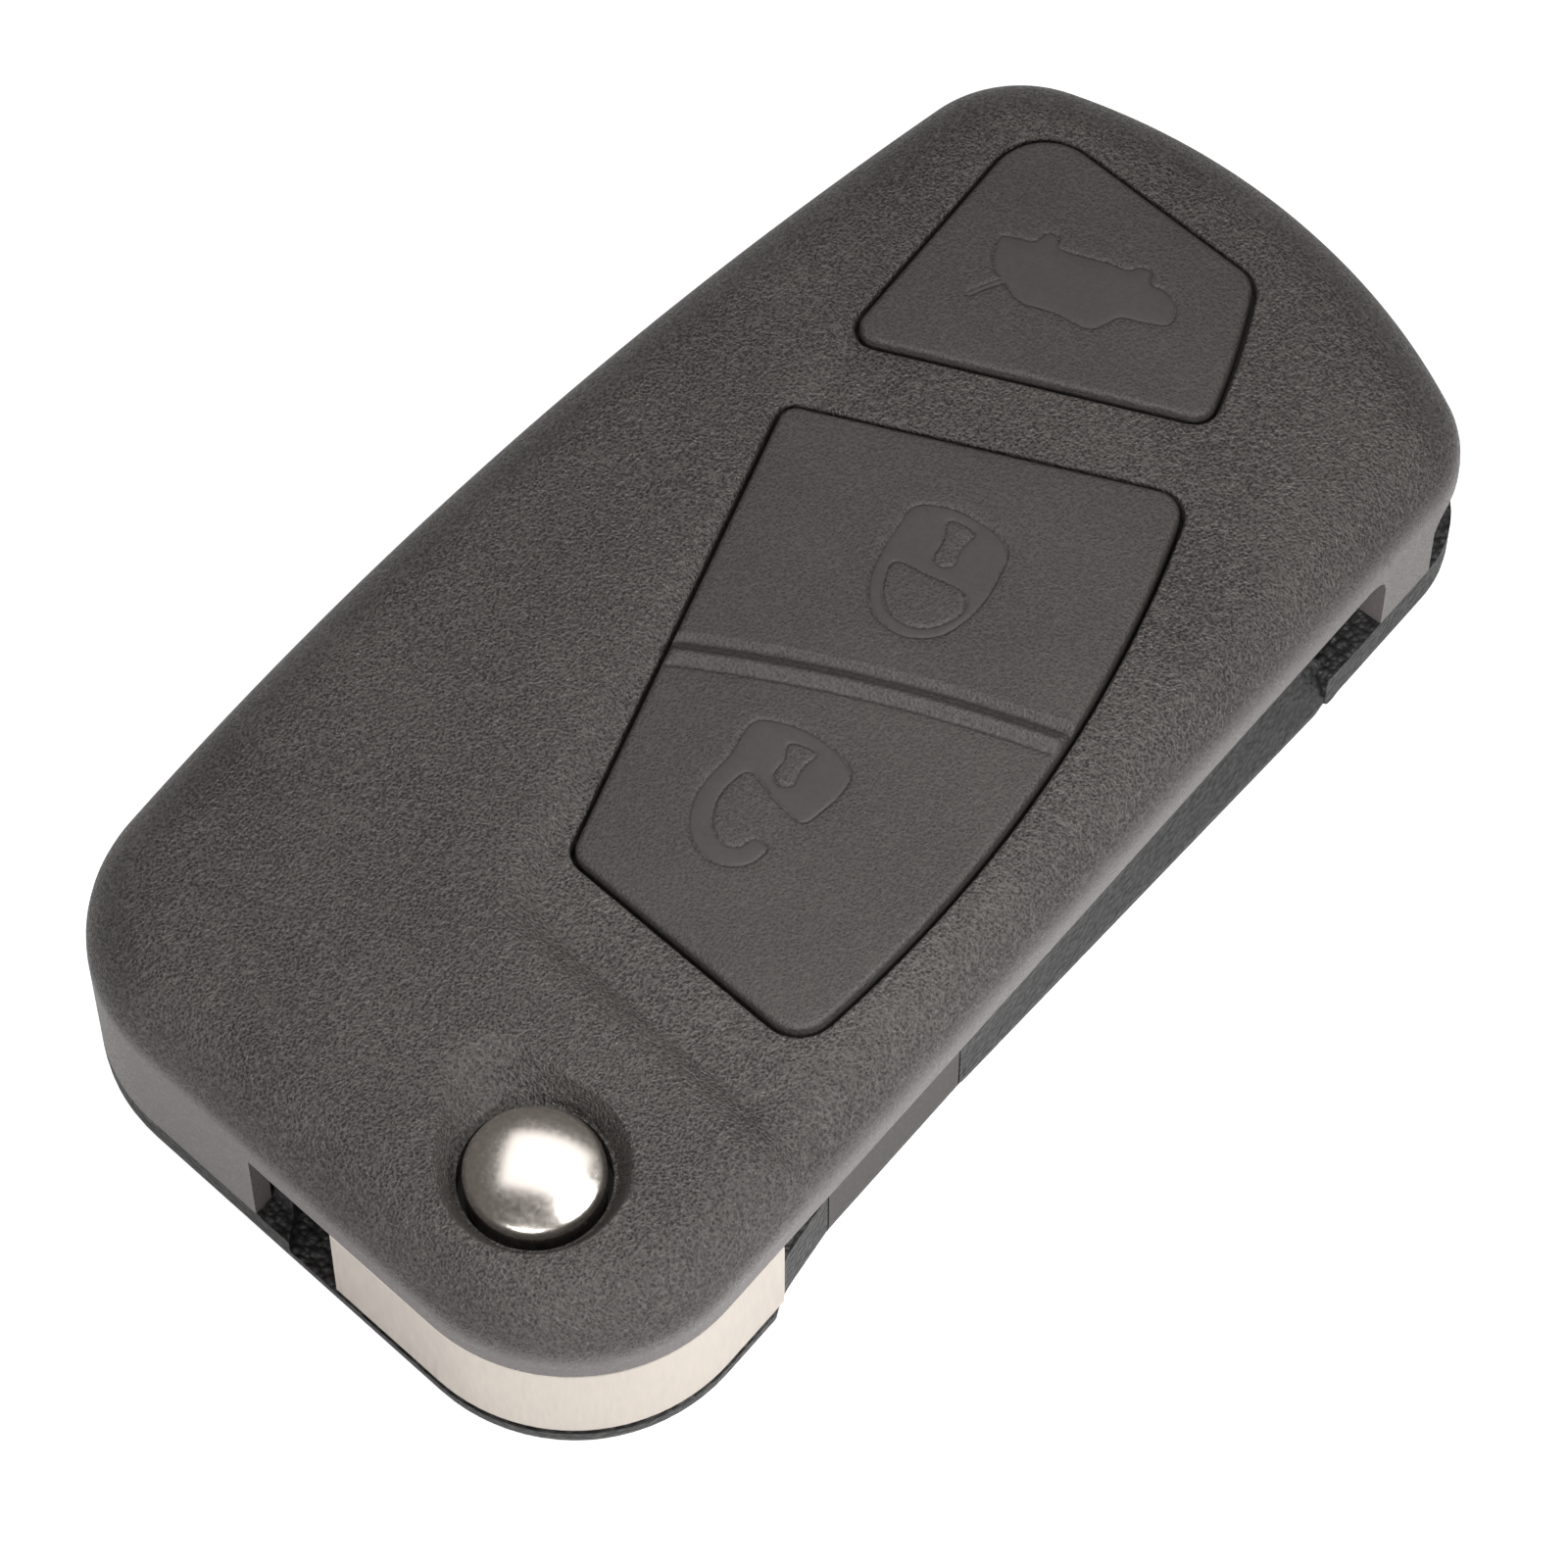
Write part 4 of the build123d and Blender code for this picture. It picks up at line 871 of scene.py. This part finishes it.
def pad_height(corners, lines, beaded):
    """Function that gives a pad's height over plan points."""
    edge = rounded_loop(corners)

    def height(points):
        depth = depth_inside(points, edge)
        face = PAD_TOP_Z - edge_drop(depth, PAD_EDGE_R)
        if beaded:
            across = bead_distance(points)
            relief = BEAD_RISE * bump(across, BEAD_HALF)
            relief -= VALLEY_DEPTH * bump(across - VALLEY_AT, VALLEY_HALF)
            relief -= FOOT_DEPTH * bump(across - FOOT_AT, FOOT_HALF)
            face += relief * np.clip(depth / PAD_EDGE_R, 0, 1)
        polished = pictogram_face(points, lines)
        face -= LINE_DEPTH * np.exp(-(polished / LINE_SOFT) ** 2)
        return face - FACE_DEPTH * np.clip(polished / LINE_SOFT, 0, 1)
    return height


def bead_row(distance, count):
    """Row of points at a distance from the bead's line."""
    spokes = np.array(BEAD_LINE) - bead_side["centre"]
    first, last = np.arctan2(spokes[:, 1], spokes[:, 0])
    angles = np.linspace(first, last, count)
    return bead_side["centre"] + (BEAD_ARC_R + distance) * np.column_stack([np.cos(angles), np.sin(angles)])


def pad_mesh(name, corners, lines, flange_z, beaded=False):
    """Hollow pad on a flange, with its pictograms, and its bead if it has one."""
    edge = rounded_loop(corners)
    flange = rounded_loop(corners, -FLANGE_REACH)
    hollow = rounded_loop(corners, PAD_WALL, UNDER_STEP)
    rows = [edge_rows(corners, PAD_EDGE_R, count=5)]
    rows += [beside(line, offset) for group in lines for line in group for offset in LINE_ROWS]
    layers = [(flange_z, inside(flange)), (PAD_TOP_Z - PAD_TOP, inside(hollow))]
    cuts = []
    if beaded:
        rows += [bead_row(distance, count=60) for distance in BEAD_ROWS]
        rib = np.concatenate([bead_row(-RIB_HALF, count=40), bead_row(RIB_HALF, count=40)[::-1]])
        rib_end = rounded_loop(corners, PAD_WALL / 2, UNDER_STEP)
        rib = rib[depth_inside(rib, rib_end) > -0.5]
        layers.append((RIB_FOOT_Z, lambda p: inside(rib_end)(p) & inside(rib)(p)))
        cuts = [rib_end, rib]
    rows = np.concatenate(rows)
    rows = rows[depth_inside(rows, edge) > 0.001]
    grid = honeycomb(GRID_STEP, edge.min(axis=0), edge.max(axis=0))
    grid = thinned(grid[depth_inside(grid, edge) > 0.5], rows, 0.25)
    face = pad_height(corners, lines, beaded)
    top = sheet([flange, edge], np.concatenate([rows, grid]),
                [(flange_z + FLANGE_THICKNESS, inside(flange)), (face, inside(edge))])
    pad = solid_between(name, top, sheet([flange, hollow, *cuts], [], layers))
    spots = np.array([corner.co[:2] for corner in pad.data.vertices]) / MM
    polished = pad.data.attributes.new("polished", "FLOAT", "POINT")
    polished.data.foreach_set("value", np.clip(pictogram_face(spots, lines) / LINE_SOFT, 0, 1))
    return pad


boot_pad = pad_mesh("boot_pad", BOOT, boot_lines, BOOT_FLANGE_Z)
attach(boot_pad, "boot")
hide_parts("boot_button")
lock_pad = pad_mesh("lock_pad", ROCKER, lock_lines, ROCKER_FLANGE_Z, beaded=True)
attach(lock_pad, "rocker")
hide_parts("lock_rocker")

# %% [markdown]
# ## The release button's dome
#
# A polished dome shows every facet, so its crown is turned as a fine profile: the crown's
# arc, a small tangent arc at the rim, the straight side, and the bore that sits on the
# plunger below.

# %% Dome
DOME_R = 3.6
DOME_TOP_Z = 16.2
DOME_RISE = 1.0
DOME_RIM_R = 0.6
DOME_FOOT_Z = 13.35
DOME_BORE = (2.23, 14.78)
LATHE_STEPS = 120
CROWN_STEPS = 24
RIM_STEPS = 8


def arc(centre_r, centre_z, radius, angles):
    """Points (radius, height) on an arc, by their angles from straight up."""
    return [(centre_r + radius * math.sin(angle), centre_z + radius * math.cos(angle)) for angle in angles]


def dome_profile():
    """Half section of the dome as (radius, height), from its crown to the middle of its bore."""
    crown_r = (DOME_R ** 2 + DOME_RISE ** 2) / (2 * DOME_RISE)
    crown_z = DOME_TOP_Z - crown_r
    reach = DOME_R - DOME_RIM_R
    rim_z = crown_z + math.sqrt((crown_r - DOME_RIM_R) ** 2 - reach ** 2)
    lean = math.atan2(reach, rim_z - crown_z)
    crown = arc(0.0, crown_z, crown_r, [lean * k / CROWN_STEPS for k in range(CROWN_STEPS)])
    turns = [lean + (math.pi / 2 - lean) * k / RIM_STEPS for k in range(RIM_STEPS + 1)]
    rim = arc(reach, rim_z, DOME_RIM_R, turns)
    bore_r, bore_z = DOME_BORE
    return crown + rim + [(DOME_R, DOME_FOOT_Z), (bore_r, DOME_FOOT_Z), (bore_r, bore_z), (0.0, bore_z)]


def turned(name, centre, profile):
    """Object turned about an upright axis from a profile that starts and ends on it."""
    rings = []
    for radius, z in profile:
        spots = circle(centre, radius, LATHE_STEPS) if radius else np.array([centre])
        rings.append([(round(x, 5), round(y, 5), round(z, 5)) for x, y in spots.tolist()])
    faces = []
    for upper, lower in zip(rings, rings[1:]):
        for k in range(LATHE_STEPS):
            j = (k + 1) % LATHE_STEPS
            face = [upper[k % len(upper)], lower[k % len(lower)],
                    lower[j % len(lower)], upper[j % len(upper)]]
            faces.append(list(dict.fromkeys(face)))
    return mesh_object(name, faces)


dome = turned("release_dome", PIVOT, dome_profile())
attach(dome, "release")
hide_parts("release_cap")

# %% [markdown]
# ## The right side's bulge
#
# Below the blade slot the right side swells out towards the key ring corner, so that it
# meets that corner with no step. The solid's wall is straight there. A thin wedge laid
# over the wall follows the real line: it slopes outwards from the floor of the slot, and
# its under side is the back's rounded edge, carried round the new outline.

# %% Side wedge
SIDE_X = 19.1
SLOT_FLOOR_Z = 7.0
SLOPE_FOOT_Z = 3.4
BACK_EDGE_R = 3.2
WEDGE_X = (16.0, 20.15)
WEDGE_Y = (-8.6, 20.45)
WEDGE_LAP = 0.15
WEDGE_START = 0.04
WEDGE_STEPS = 60


def wedge_side(y):
    """Outer side of the wedge at a place along the key."""
    share = np.clip((y - WEDGE_Y[0]) / (WEDGE_Y[1] - WEDGE_Y[0]), 0, 1)
    return SIDE_X + (WEDGE_X[1] - SIDE_X) * (WEDGE_START + (1 - WEDGE_START) * share)


def under_side(points):
    """The back's rounded edge, carried round the wedge's outline."""
    return edge_drop(wedge_side(points[:, 1]) - points[:, 0], BACK_EDGE_R)


def lapped_side(points):
    """The wedge's inner face, a little way into the back's own rounded edge."""
    return edge_drop(SIDE_X - points[:, 0], BACK_EDGE_R) + WEDGE_LAP


def outer_slope(points):
    """Slope from the floor of the slot out to the wedge's outline."""
    seam_x = SIDE_X - WEDGE_LAP
    width = np.maximum(wedge_side(points[:, 1]) - seam_x, 0.01)
    return SLOT_FLOOR_Z - (SLOT_FLOOR_Z - SLOPE_FOOT_Z) * (points[:, 0] - seam_x) / width


def wedge_mesh():
    """The wedge between its slope above and the back's rounded edge below."""
    ys = np.linspace(*WEDGE_Y, WEDGE_STEPS)
    outer = np.column_stack([wedge_side(ys), ys])
    inner = np.column_stack([np.full(len(ys), WEDGE_X[0]), ys])[::-1]
    seam_x = SIDE_X - WEDGE_LAP
    rim = np.concatenate([outer, [(seam_x, ys[-1])], inner, [(seam_x, ys[0])]])
    seam = [(seam_x, y) for y in ys]
    between = ys[1:-1]
    insets = [BACK_EDGE_R * (1 - math.cos(k * math.pi / 24)) for k in range(1, 12)]
    rows = np.concatenate([np.column_stack([wedge_side(between) - inset, between]) for inset in insets])
    rows = rows[rows[:, 0] > WEDGE_X[0] + 0.05]
    layers = [(lapped_side, inside(rim)),
              (outer_slope, lambda points: inside(rim)(points) & (points[:, 0] > seam_x))]
    top = sheet([rim], rows[rows[:, 0] < seam_x - 0.05], layers, [seam])
    return solid_between("side_wedge", top, sheet([rim], rows, [(under_side, inside(rim))]))


side_wedge = wedge_mesh()
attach(side_wedge, "case")

# %% [markdown]
# ## Finishes
#
# Every finish on this key is a grain of some size over a plain colour. The cap is spark
# eroded: tiny pits a fifth of a millimetre wide that catch the light one by one, and its
# colour is painted lighter on the grain's peaks as glints and darker in its pits as shade.
# Below its edge the cap turns smooth, in a lighter grey that is a painted reflection of the
# white floor. The back has a coarser leathery grain, painted lighter on its cells' tops as
# glints and darker between them as shade, the pads a soft one, and the metal parts only
# fine brushing. So a few small helpers are enough: one for noise of a size in millimetres,
# one for rounded cells, one for two tones of a colour, and one that feeds the shader its
# colour, its roughness and its relief.

# %% Material helpers
def finish(name, colour, roughness, metallic=0.0):
    """New material with its node tree and its shader."""
    made = bpy.data.materials.new(name)
    made.use_nodes = True
    shader = made.node_tree.nodes["Principled BSDF"]
    shader.inputs["Base Color"].default_value = (*colour, 1)
    shader.inputs["Roughness"].default_value = roughness
    shader.inputs["Metallic"].default_value = metallic
    return made, made.node_tree, shader


def place_on(tree, stretch=(1, 1, 1)):
    """Object coordinates, squeezed along an axis where a pattern is drawn out."""
    coordinates = tree.nodes.new("ShaderNodeTexCoord")
    mapping = tree.nodes.new("ShaderNodeMapping")
    mapping.inputs["Scale"].default_value = stretch
    link(tree, coordinates, "Object", mapping, "Vector")
    return mapping.outputs["Vector"]


def noise(tree, place, size, detail=2.0, roughness=0.5):
    """Noise whose patches are about as wide as the size in millimetres."""
    node = tree.nodes.new("ShaderNodeTexNoise")
    node.inputs["Scale"].default_value = 1 / (size * MM)
    node.inputs["Detail"].default_value = detail
    node.inputs["Roughness"].default_value = roughness
    feed(tree, node.inputs["Vector"], place)
    return node.outputs["Fac"]


def cells(tree, place, size):
    """Rounded cells: 0 in the middle of each, rising to its edge."""
    node = tree.nodes.new("ShaderNodeTexVoronoi")
    node.feature = "SMOOTH_F1"
    node.inputs["Scale"].default_value = 1 / (size * MM)
    node.inputs["Smoothness"].default_value = 0.35
    feed(tree, node.inputs["Vector"], place)
    return node.outputs["Distance"]


def spread(tree, source, low, high, to_low=0.0, to_high=1.0):
    """Map a range of values to another, held at its ends."""
    node = tree.nodes.new("ShaderNodeMapRange")
    inputs = {"Value": source, "From Min": low, "From Max": high, "To Min": to_low, "To Max": to_high}
    for name, value in inputs.items():
        feed(tree, node.inputs[name], value)
    return node.outputs["Result"]


def blend(tree, factor, first, second):
    """Colour between two others by a factor."""
    node = tree.nodes.new("ShaderNodeMix")
    node.data_type = "RGBA"
    for name, value in {"Factor": factor, "A": first, "B": second}.items():
        feed(tree, node.inputs[name], value)
    return node.outputs["Result"]


def tint(tree, factor, colour, dark, light):
    """The colour at a darker and a lighter strength, mixed by a factor."""
    tones = [(*(channel * tone for channel in colour), 1) for tone in (dark, light)]
    return blend(tree, factor, *tones)


def dress_shader(tree, shader, colour, roughness, height, depth):
    """Feed a finish's colour, its roughness, and relief whose full height is in millimetres."""
    bump = tree.nodes.new("ShaderNodeBump")
    bump.inputs["Strength"].default_value = 1.0
    bump.inputs["Distance"].default_value = depth * MM
    feed(tree, bump.inputs["Height"], height)
    inputs = {"Base Color": colour, "Roughness": roughness, "Normal": bump.outputs["Normal"]}
    for name, value in inputs.items():
        feed(tree, shader.inputs[name], value)


def height_above_floor(tree, low, high):
    """0 below one height of the key and 1 above another, in millimetres."""
    coordinates = tree.nodes.new("ShaderNodeTexCoord")
    split = tree.nodes.new("ShaderNodeSeparateXYZ")
    link(tree, coordinates, "Object", split, "Vector")
    return spread(tree, split.outputs["Z"], low * MM, high * MM)

# %% Case plastics
CHARCOAL = (0.053, 0.0475, 0.044)
# Lighter than the charcoal: a painted reflection of the white floor on the smooth band low on the cap.
SKIRT_GREY_AND_FLOOR_SHEEN = (0.138, 0.122, 0.121)
PAD_GREY = (0.043, 0.0385, 0.036)
NEAR_BLACK = (0.022, 0.021, 0.021)
COVER_BROWN = (0.038, 0.032, 0.029)
SPARK_SIZE = 0.13
GRAIN_MEAN = 0.72
SMOOTH_BELOW_Z = 11.6
GRAINED_ABOVE_Z = 13.2
POLISHED_SHARE = 0.16


def spark_grain(tree, place):
    """Pitted surface of spark erosion: fine noise over small cells."""
    pits = maths(tree, "MULTIPLY", cells(tree, place, SPARK_SIZE * 1.5), 0.55)
    return maths(tree, "ADD", noise(tree, place, SPARK_SIZE, roughness=0.6), pits)


def cap_plastic():
    """Charcoal with spark grain, and a smooth grey on the skirt below the cap's edge, painted lighter as the
    sheen of the white floor.
    """
    made, tree, shader = finish("charcoal_spark_grain", CHARCOAL, 0.5)
    place = place_on(tree)
    grain = spark_grain(tree, place)
    # The grain's peaks are painted lighter as glints and its pits darker as shade; the broad cloud varies
    # the tone at random.
    cloud = maths(tree, "MULTIPLY", noise(tree, place, size=9.0), 0.25)
    tone = maths(tree, "ADD", maths(tree, "MULTIPLY", grain, 0.8), cloud)
    colour = tint(tree, spread(tree, tone, 0.55, 1.0), CHARCOAL, dark=0.35, light=2.05)
    # Below this height the grain fades and the colour turns to the painted floor sheen.
    grained = height_above_floor(tree, SMOOTH_BELOW_Z, GRAINED_ABOVE_Z)
    height = maths(tree, "MULTIPLY", grain, spread(tree, grained, 0.0, 1.0, 0.1))
    dress_shader(tree, shader, colour=blend(tree, grained, (*SKIRT_GREY_AND_FLOOR_SHEEN, 1), colour),
                 roughness=spread(tree, grain, 0.5, 1.0, 0.50, 0.24), height=height, depth=0.15)
    return made


def pad_rubber():
    """Soft grain that fades away where a pictogram's face is polished."""
    made, tree, shader = finish("soft_pad_grain", PAD_GREY, 0.55)
    place = place_on(tree)
    polished = tree.nodes.new("ShaderNodeAttribute")
    polished.attribute_name = "polished"
    rough_share = spread(tree, polished.outputs["Fac"], 0.0, 1.0, 1.0, POLISHED_SHARE)
    grain = maths(tree, "SUBTRACT", spark_grain(tree, place), GRAIN_MEAN)
    grain = maths(tree, "MULTIPLY", grain, rough_share)
    fine = noise(tree, place, size=0.35, detail=3.0)
    cloud = maths(tree, "MULTIPLY", noise(tree, place, size=6.0, detail=3.0), 0.35)
    tone = spread(tree, maths(tree, "ADD", grain, cloud), -0.15, 0.55)
    dress_shader(tree, shader, colour=tint(tree, tone, PAD_GREY, dark=0.5, light=1.5),
                 roughness=spread(tree, fine, 0.3, 0.7, 0.5, 0.62), height=grain, depth=0.06)
    return made


def back_plastic():
    """Coarse leathery grain: small raised cells with folds over them, painted lighter on the cells' tops as
    glints and darker between them as shade.
    """
    made, tree, shader = finish("black_leather_grain", NEAR_BLACK, 0.42)
    place = place_on(tree)
    hide = cells(tree, place, size=0.38)
    folds = maths(tree, "MULTIPLY", noise(tree, place, size=0.3), 0.6)
    wear = noise(tree, place, size=0.4)
    dress_shader(tree, shader,
                 # Cell middles get the lighter tone as painted glints, cell edges the darker one as painted
                 # shade.
                 colour=tint(tree, spread(tree, hide, 0.1, 0.6), NEAR_BLACK, dark=1.9, light=0.5),
                 roughness=spread(tree, wear, 0.3, 0.7, 0.44, 0.6),
                 height=maths(tree, "SUBTRACT", folds, hide), depth=0.14)
    return made


def cover_plastic():
    """Smooth brown-black plastic with faint streaks, as if rubbed by a pocket."""
    made, tree, shader = finish("brown_black_rubbed", COVER_BROWN, 0.5)
    streaks = noise(tree, place_on(tree, (0.25, 1.0, 1.6)), size=0.3, detail=3.0)
    colour = tint(tree, spread(tree, streaks, 0.3, 0.7), COVER_BROWN, dark=0.7, light=1.35)
    dress_shader(tree, shader, colour=colour, roughness=spread(tree, streaks, 0.3, 0.7, 0.42, 0.6),
                 height=streaks, depth=0.02)
    return made


def plain_moulding(name, grey, roughness):
    """Dull grey moulding of the kind that stays inside the case."""
    colour = (grey, grey, grey)
    made, tree, shader = finish(name, colour, roughness)
    grain = noise(tree, place_on(tree), size=0.3)
    dress_shader(tree, shader, colour=tint(tree, grain, colour, dark=0.85, light=1.15),
                 roughness=roughness, height=grain, depth=0.01)
    return made


cap_charcoal = cap_plastic()
pad_grey = pad_rubber()
leather_black = back_plastic()
cover_brown = cover_plastic()
print("plastics:", *[made.name for made in (cap_charcoal, pad_grey, leather_black, cover_brown)])

# %% Metals
HUB_PALE = (0.70, 0.64, 0.58)
CHROME = (0.88, 0.82, 0.76)
NICKEL = (0.58, 0.57, 0.55)
SPRING_GREY = (0.45, 0.45, 0.46)
ZINC = (0.42, 0.42, 0.43)


def metal(name, colour, roughness, scratch, stretch=(1, 1, 1), depth=0.003):
    """Metal with brushing: noise drawn out along one axis varies its gloss and its relief."""
    made, tree, shader = finish(name, colour, roughness, metallic=1.0)
    lines = noise(tree, place_on(tree, stretch), scratch, detail=3.0, roughness=0.6)
    dress_shader(tree, shader,
                 colour=tint(tree, spread(tree, lines, 0.3, 0.7), colour, dark=0.94, light=1.06),
                 roughness=spread(tree, lines, 0.3, 0.7, roughness * 0.85, roughness * 1.15),
                 height=lines, depth=depth)
    return made


hub_satin = metal("hub_satin", HUB_PALE, 0.42, scratch=0.25, stretch=(1, 1, 0.15), depth=0.004)
chrome = metal("polished_chrome", CHROME, 0.24, scratch=0.3, depth=0.0005)
blade_nickel = metal("blade_nickel", NICKEL, 0.3, scratch=0.1, stretch=(1, 0.05, 1))
pin_steel = metal("pin_steel", NICKEL, 0.35, scratch=0.1, stretch=(1, 1, 0.1))
spring_wire = metal("spring_wire", SPRING_GREY, 0.3, scratch=0.1)
zinc = metal("zinc_plate", ZINC, 0.38, scratch=0.2)
print("materials so far:", len(bpy.data.materials))

# %% [markdown]
# ## Spring and screws
#
# A coil and a thread are both a small section swept along a spiral, and the two screws
# that close the case are one screw at two places. Geometry Nodes say exactly that: Curve
# Spiral, Curve to Mesh, and Instance on Points. The tree's inputs carry the sizes, and it
# ends in real faces with their material, so that the result is a plain mesh.

# %% Geometry Nodes helpers
SPIRAL_STEPS = 40


def sized_tree(name, sizes):
    """Geometry Nodes tree with a named input for each size, and its two end nodes."""
    tree = bpy.data.node_groups.new(name, "GeometryNodeTree")
    tree.interface.new_socket("Geometry", in_out="INPUT", socket_type="NodeSocketGeometry")
    tree.interface.new_socket("Geometry", in_out="OUTPUT", socket_type="NodeSocketGeometry")
    for label, value in sizes.items():
        kind = "NodeSocketVector" if isinstance(value, tuple) else "NodeSocketFloat"
        tree.interface.new_socket(label, in_out="INPUT", socket_type=kind)
    return tree, tree.nodes.new("NodeGroupInput"), tree.nodes.new("NodeGroupOutput")


def coil(tree, given, sides):
    """Tube along a spiral, sized by the tree's inputs, at the input place."""
    spiral = tree.nodes.new("GeometryNodeCurveSpiral")
    spiral.inputs["Resolution"].default_value = SPIRAL_STEPS
    for socket, label in {"Rotations": "Turns", "Start Radius": "Coil radius",
                          "End Radius": "Coil radius", "Height": "Coil height"}.items():
        link(tree, given, label, spiral, socket)
    section = tree.nodes.new("GeometryNodeCurvePrimitiveCircle")
    section.inputs["Resolution"].default_value = sides
    link(tree, given, "Wire radius", section, "Radius")
    sweep = tree.nodes.new("GeometryNodeCurveToMesh")
    sweep.inputs["Fill Caps"].default_value = True
    link(tree, spiral, "Curve", sweep, "Curve")
    link(tree, section, "Curve", sweep, "Profile Curve")
    place = tree.nodes.new("GeometryNodeTransform")
    link(tree, sweep, "Mesh", place, "Geometry")
    link(tree, given, "Coil foot", place, "Translation")
    return place


def close_tree(tree, source, output, result, material):
    """End a tree in real faces of one material."""
    real = tree.nodes.new("GeometryNodeRealizeInstances")
    painted = tree.nodes.new("GeometryNodeSetMaterial")
    painted.inputs["Material"].default_value = material
    link(tree, source, output, real, "Geometry")
    link(tree, real, "Geometry", painted, "Geometry")
    link(tree, painted, "Geometry", result, "Geometry")


def grown(name, tree, sizes, base=None):
    """Plain mesh object that a tree makes from a base mesh and its sizes."""
    thing = add_object(name, base or bpy.data.meshes.new(name))
    modifier = thing.modifiers.new(name, "NODES")
    modifier.node_group = tree
    for socket in tree.interface.items_tree:
        if socket.name in sizes:
            modifier[socket.identifier] = sizes[socket.name]
    bpy.context.view_layer.update()
    ready = thing.evaluated_get(bpy.context.evaluated_depsgraph_get())
    mesh = bpy.data.meshes.new_from_object(ready)
    thing.modifiers.clear()
    thing.data = mesh
    print(name, len(mesh.polygons), "faces")
    return thing

# %% Hub spring
SPRING_SIZES = {
    "Turns": 5.0,
    "Coil radius": 3.95 * MM,
    "Coil height": 7.38 * MM,
    "Wire radius": 0.36 * MM,
    "Coil foot": (PIVOT[0] * MM, PIVOT[1] * MM, 3.06 * MM),
}

tree, given, result = sized_tree("hub_spring_coil", SPRING_SIZES)
close_tree(tree, coil(tree, given, sides=14), "Geometry", result, spring_wire)
spring = grown("hub_coil", tree, SPRING_SIZES)
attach(spring, "hub")
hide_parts("hub_spring")
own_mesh(spring)

# %% Case screws
SCREW_SINK = 0.5
HEAD_R = 1.7
HEAD_HEIGHT = 1.1
HEAD_EDGE_R = 0.35
HEAD_ROWS = (0.02, 0.08, 0.18, HEAD_EDGE_R)
SHANK_R = 0.62
SHANK_LENGTH = 9.5
CROSS = (1.3, 0.32)
CROSS_DEPTH = 0.55
THREAD_SIZES = {
    "Turns": 14.0,
    "Coil radius": 0.64 * MM,
    "Coil height": 8.6 * MM,
    "Wire radius": 0.11 * MM,
    "Coil foot": (0.0, 0.0, (HEAD_HEIGHT + 0.6) * MM),
    "First place": (SCREWS[0][0] * MM, SCREWS[0][1] * MM, SCREW_SINK * MM),
    "Second place": (SCREWS[1][0] * MM, SCREWS[1][1] * MM, SCREW_SINK * MM),
}


def screw_body():
    """Round head with a cross recess in its lower face, and a plain shank above."""
    head = circle((0, 0), HEAD_R, 48)
    shank = circle((0, 0), SHANK_R, 24)
    arm, half = (HEAD_R * share / 2 for share in CROSS)
    arm_corners = np.array([(half, half), (half, arm), (-half, arm)])
    turn = np.array([(0, 1), (-1, 0)])
    cross = np.concatenate([arm_corners @ np.linalg.matrix_power(turn, k) for k in range(4)])
    rows = np.concatenate([circle((0, 0), HEAD_R - inset, 48) for inset in HEAD_ROWS])
    top = sheet([head, shank], [], [
        (HEAD_HEIGHT, inside(head)),
        (HEAD_HEIGHT + SHANK_LENGTH, inside(shank))])
    below = sheet([head, cross], rows, [
        (lambda points: edge_drop(HEAD_R - np.hypot(*points.T), HEAD_EDGE_R), inside(head)),
        (CROSS_DEPTH, inside(cross))])
    return solid_between("screw_body", top, below)


body = screw_body()
tree, given, result = sized_tree("screws_in_place", THREAD_SIZES)
whole = tree.nodes.new("GeometryNodeJoinGeometry")
link(tree, given, "Geometry", whole, "Geometry")
link(tree, coil(tree, given, sides=4), "Geometry", whole, "Geometry")
line = tree.nodes.new("GeometryNodeMeshLine")
line.mode = "END_POINTS"
line.inputs["Count"].default_value = 2
link(tree, given, "First place", line, "Start Location")
# In this mode the second point goes in the socket that is called Offset
link(tree, given, "Second place", line, "Offset")
placed = tree.nodes.new("GeometryNodeInstanceOnPoints")
link(tree, line, "Mesh", placed, "Points")
link(tree, whole, "Geometry", placed, "Instance")
close_tree(tree, placed, "Instances", result, zinc)
screws = grown("case_screws", tree, THREAD_SIZES, body.data)
bpy.data.objects.remove(body)
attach(screws, "case")
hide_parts("case_screw_hub_end", "case_screw_ring_end")

# %% [markdown]
# ## Dressing the pieces
#
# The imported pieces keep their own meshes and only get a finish. What lies inside the
# closed case is dressed too, because the pieces are also looked at one by one. The finer
# meshes made above come last, each in the finish of the moulding that it stands for.

# %% Dressing the pieces
FINISHES = [
    (leather_black, "lower_shell"),
    (cover_brown, "battery_cover"),
    (plain_moulding("seal_rubber", 0.03, 0.7), "battery_cover_seal"),
    (plain_moulding("membrane_silicone", 0.12, 0.6), "keypad_membrane"),
    (plain_moulding("tray_plastic", 0.05, 0.5),
     "board_tray", "keypad_retainer", "spring_seat", "thrust_washer", "release_plunger"),
    (hub_satin, "blade_hub"),
    (blade_nickel, "blade"),
    (pin_steel, "blade_pin"),
    (spring_wire, "hub_spring"),
    (zinc, "case_screw_hub_end", "case_screw_ring_end", "retainer_screw"),
]


def dress(thing, material):
    """Give every material slot of a piece one finish."""
    if not thing.data.materials:
        thing.data.materials.append(material)
    for slot in thing.material_slots:
        slot.material = material


for material, *names in FINISHES:
    for name in names:
        dress(nodes[name], material)
dress(cap, cap_charcoal)
dress(side_wedge, leather_black)
dress(boot_pad, pad_grey)
dress(lock_pad, pad_grey)
dress(dome, chrome)
print("materials in all:", len(bpy.data.materials))
